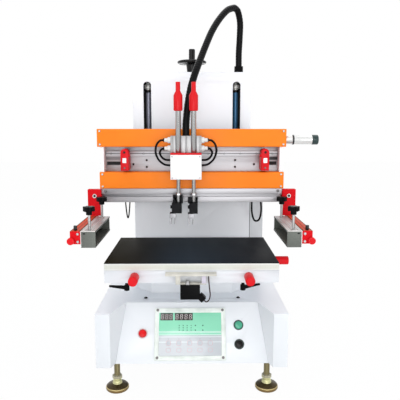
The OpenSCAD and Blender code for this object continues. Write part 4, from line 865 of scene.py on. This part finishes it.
carriageParts = {"middle": -16.0, "blockFront": -2.0, "fittingX": (-77.0, 45.0), "fittingZ": (646.0, 669.0), "fittingY": 8.0}
sleeves = [collarRing((x, carriageParts["fittingY"], z), (-1 if x < 0 else 1, 0, 0), 5.6, 3.2, -0.2, 2.0, 24) for x in carriageParts["fittingX"] for z in carriageParts["fittingZ"]]
piece("fitting_sleeves", sleeves, "carriage", tubePlastic)
nuts = [turned([(5, 0), (8.2, 0), (8.6, 0.6), (8.6, 6.4), (8.0, 7.4), (6.4, 9.0), (5, 9.4)], (x, carriageParts["fittingY"], z), (s, 0, 0), 28) for x, s in ((-59.0, -1), (27.0, 1)) for z in carriageParts["fittingZ"]]
piece("fitting_nuts", nuts, "carriage", whitePlastic)
piece("front_plate_screws", [panHead((carriageParts["middle"] + s * 38.0, -20.0, z), (0, -1, 0), 4.6, 1.2, 20) for s in (-1, 1) for z in (565.5, 624.5)], "carriage", screwSteel)
forks = {"rods": (("squeegee", -37.5, -53.5, 465.0), ("flood_bar", 5.5, -2.5, 464.0)), "depth": 16.0}
legOutline = [(-8.6, -9.0), (-8.6, -29.6), (-3.5, -29.6), (-3.5, -9.0)]
for body, x, forkX, forkTop in forks["rods"]:
    piece(body + "_rod_nut", [slab(evenOutline(15.0, 6), 515.6, 521.0, (x, 0, 0), (0, 0, 1), (1, 0, 0), 0.6)], body, screwSteel)
    # the fork's left leg: a slab on its outline in x and z, from the fork's shoulder down to its foot
    piece(body + "_fork_leg", [slab(legOutline, -forks["depth"] + 0.2, forks["depth"] - 0.2, (forkX, 0, forkTop), (0, -1, 0), (1, 0, 0))], body, rodClamp(body + "_fork_leg_finish", forkTop))
print("carriage finished")

knobParts = {"knobs": (("knob_left", (-146, -202, 325.5), (0, -1, 0)), ("knob_right", (146, -202, 325.5), (0, -1, 0)), ("knob_side", (277, 0, 325.5), (1, 0, 0))), "radius": 12.0}
for body, tip, out in knobParts["knobs"]:
    tip, out = np.array(tip, float), np.array(out, float)
    piece(body + "_face", turned([(10.2, -0.6), (10.2, -0.1), (9.6, 0), (6.4, -0.35), (0.1, -0.5)], tip, out, 40), body, redCoat)
    side = axesFor(out)[0] * (1 if out[0] else -1)
    across = np.array((0, 0, 1.0)) if abs(side[2]) > 0.5 else side
    piece(body + "_set_screw", darkHole(tip - out * 38 + np.array((0, 0, 12.0)) * 0.995, (0, 0, 1), 3.4), body, recessShade)

valveParts = {"nut": (-10.0, -168.0, 309.0)}
nut = [slab(evenOutline(15.0, 6), 0, 5.0, valveParts["nut"], (0, 0, 1), (1, 0, 0), 0.6), turned([(5.2, 5), (5.2, 9.4), (4.4, 10), (0.1, 10)], valveParts["nut"], (0, 0, 1), 28)]
piece("valve_nut", nut, "table", screwSteel)
legs = [slab(roundedBox(11, 19, 1.0), 0, 0.8, (31.0, -171.0, 321.5), (0, -1, 0), (1, 0, 0))]
piece("valve_leg_plate", legs, "table", lidPale)

wheel = {"axis": (0.0, 232.0), "nutTop": 948.0}
piece("handwheel_cap", turned(domed(9.6, 0, 2.2, 7), (*wheel["axis"], wheel["nutTop"] - 0.05), (0, 0, 1), 32), "handwheel", screwSteel)

slots = {"x": 139.0, "y": 262.0, "low": 470.0, "high": 866.0, "width": 62.0}
# painted shade: near-black sheets behind the column's slots, standing for the dark inside the column
shadePlates = [slab(roundedBox(slots["width"], slots["high"] - slots["low"], 2.0), 0, 1.5, (s * slots["x"], slots["y"], (slots["low"] + slots["high"]) / 2), (0, -1, 0), (1, 0, 0)) for s in (-1, 1)]
piece("slot_shade_sheets", shadePlates, "root", mouldedPlastic("slot_shade_black", (0.010, 0.011, 0.016), 0.5, 0.1, 0.3))

rear = {"face": 390.0, "screwX": 172.0, "screwZ": (250.0, 400.0, 560.0, 720.0, 860.0), "louvres": np.arange(690.0, 790.0, 12.0)}
piece("rear_cover_screws", [panHead((s * rear["screwX"], rear["face"], z), (0, 1, 0), 8.0, 2.2) for s in (-1, 1) for z in rear["screwZ"]], "root", screwSteel)
piece("rear_louvres", [slab(roundedBox(110, 3.4, 1.6), 0, 0.4, (0, rear["face"], z), (0, 1, 0), (1, 0, 0), 0.1) for z in rear["louvres"]], "root", recessShade)
inlet = [slab(roundedBox(50, 30, 3.0), 0, 2.5, (90, rear["face"], 262), (0, 1, 0), (1, 0, 0), 0.6)]
piece("mains_inlet_plate", inlet, "root", blackPlastic)
piece("mains_inlet_recess", slab(roundedBox(27, 19, 3.0), 2.4, 2.7, (90, rear["face"], 262), (0, 1, 0), (1, 0, 0), 0.1), "root", recessShade)
air = turned([(9, 0), (9, 5), (8, 5.6), (6, 5.6), (6, 14), (5.4, 15), (3, 15), (3, 9), (0.1, 9)], (-90, rear["face"], 262), (0, 1, 0), 32)
piece("air_inlet", air, "root", brass)
glands = {"ends": (((196, 140, 560), (0, 1, 0), "head"), ((-212, 140, 560), (0, 1, 0), "head"), ((-192, 140, 560), (0, 1, 0), "head"), ((212, 250, 506), (0, -1, 0), "root"))}
for number, (where, out, body) in enumerate(glands["ends"]):
    reach = 5.6 if number in (0, 3) else 4.4
    piece(f"lead_gland_{number}", turned([(reach, 0), (reach, 3.4), (reach - 0.8, 4.4), (reach - 1.6, 5.4), (reach - 2.2, 5.6)], where, out, 24), body, blackPlastic)
boxScrews = [panHead((236.0, y, z), (1, 0, 0), 6.0, 1.6) for y in (262.0, 348.0) for z in (250.0, 393.0, 545.0)]
piece("side_box_screws", boxScrews, "root", screwSteel)
print("small parts finished")


# floor, sky and lamps
studio = {"floorSize": 9.0, "floorColour": (0.9, 0.9, 0.9), "floorGlow": 0.965, "sky": 0.8, "lamps": [
    ((-1.7, -2.3, 2.6), 2.2, 16), ((2.2, -1.9, 1.6), 2.0, 9), ((0.1, -2.9, 0.55), 1.6, 25), ((0.2, 0.6, 3.4), 2.4, 16), ((0.0, 2.6, 1.6), 2.2, 14)]}


def studioFloor():
    # a square grid at floor level; its finish shows the camera mostly plain white, and the rest its own pale colour with the shadow
    spread = np.linspace(-studio["floorSize"], studio["floorSize"], 9)
    x, y = np.meshgrid(spread, spread, indexing="ij")
    mesh = bpy.data.meshes.new("studio_floor")
    mesh.from_pydata(np.stack([x.ravel(), y.ravel(), np.full(x.size, -0.0005)], 1).tolist(), [], [f[::-1] for f in gridFaces(9, 9, closed=False)])
    paint = Paint("studio_floor_paint", Roughness=0.8, Base_Color=studio["floorColour"])
    rays = paint.node("ShaderNodeLightPath")
    seen = (Wire(paint, rays.outputs["Is Camera Ray"]) + rays.outputs["Is Glossy Ray"] + rays.outputs["Is Transmission Ray"]).kept()
    glow = paint.node("ShaderNodeEmission", None, (1, 1, 1, 1), 1.0)
    blendedFloor = paint.node("ShaderNodeMixShader", None, seen * studio["floorGlow"], paint.shader.outputs[0], glow.outputs[0])
    output = next(n for n in paint.tree.nodes if n.type == "OUTPUT_MATERIAL")
    paint.tree.links.new(blendedFloor.outputs[0], output.inputs[0])
    mesh.materials.append(paint.material)
    made = bpy.data.objects.new("studio_floor", mesh)
    bpy.context.scene.collection.objects.link(made)


studioFloor()
sky = bpy.data.worlds.new("studio_sky")
sky.use_nodes = True
sky.node_tree.nodes.clear()
skyNodes, skyLinks = sky.node_tree.nodes, sky.node_tree.links
rays, soft, plain, both, out = (skyNodes.new(kind) for kind in ("ShaderNodeLightPath", "ShaderNodeBackground", "ShaderNodeBackground", "ShaderNodeMixShader", "ShaderNodeOutputWorld"))
first, second = skyNodes.new("ShaderNodeMath"), skyNodes.new("ShaderNodeMath")
second.use_clamp = True
skyLinks.new(rays.outputs["Is Camera Ray"], first.inputs[0])
skyLinks.new(rays.outputs["Is Glossy Ray"], first.inputs[1])
skyLinks.new(first.outputs[0], second.inputs[0])
skyLinks.new(rays.outputs["Is Transmission Ray"], second.inputs[1])
soft.inputs["Color"].default_value, soft.inputs["Strength"].default_value = (0.95, 0.97, 1, 1), studio["sky"]
plain.inputs["Color"].default_value, plain.inputs["Strength"].default_value = (1, 1, 1, 1), 1.0
skyLinks.new(second.outputs[0], both.inputs[0])
skyLinks.new(soft.outputs[0], both.inputs[1])
skyLinks.new(plain.outputs[0], both.inputs[2])
skyLinks.new(both.outputs[0], out.inputs[0])
bpy.context.scene.world = sky
for number, (where, width, power) in enumerate(studio["lamps"]):
    lamp = bpy.data.lights.new(f"soft_lamp_{number}", "AREA")
    lamp.size, lamp.energy = width, power
    holder = bpy.data.objects.new(f"soft_lamp_{number}", lamp)
    holder.location = where
    aim = np.array((0, 0, 0.45)) - np.array(where)
    holder.rotation_euler = (np.arctan2(np.hypot(aim[0], aim[1]), -aim[2]), 0, np.arctan2(-aim[0], aim[1]))
    bpy.context.scene.collection.objects.link(holder)
bpy.context.scene.view_settings.view_transform = "Standard"
print("studio lit")
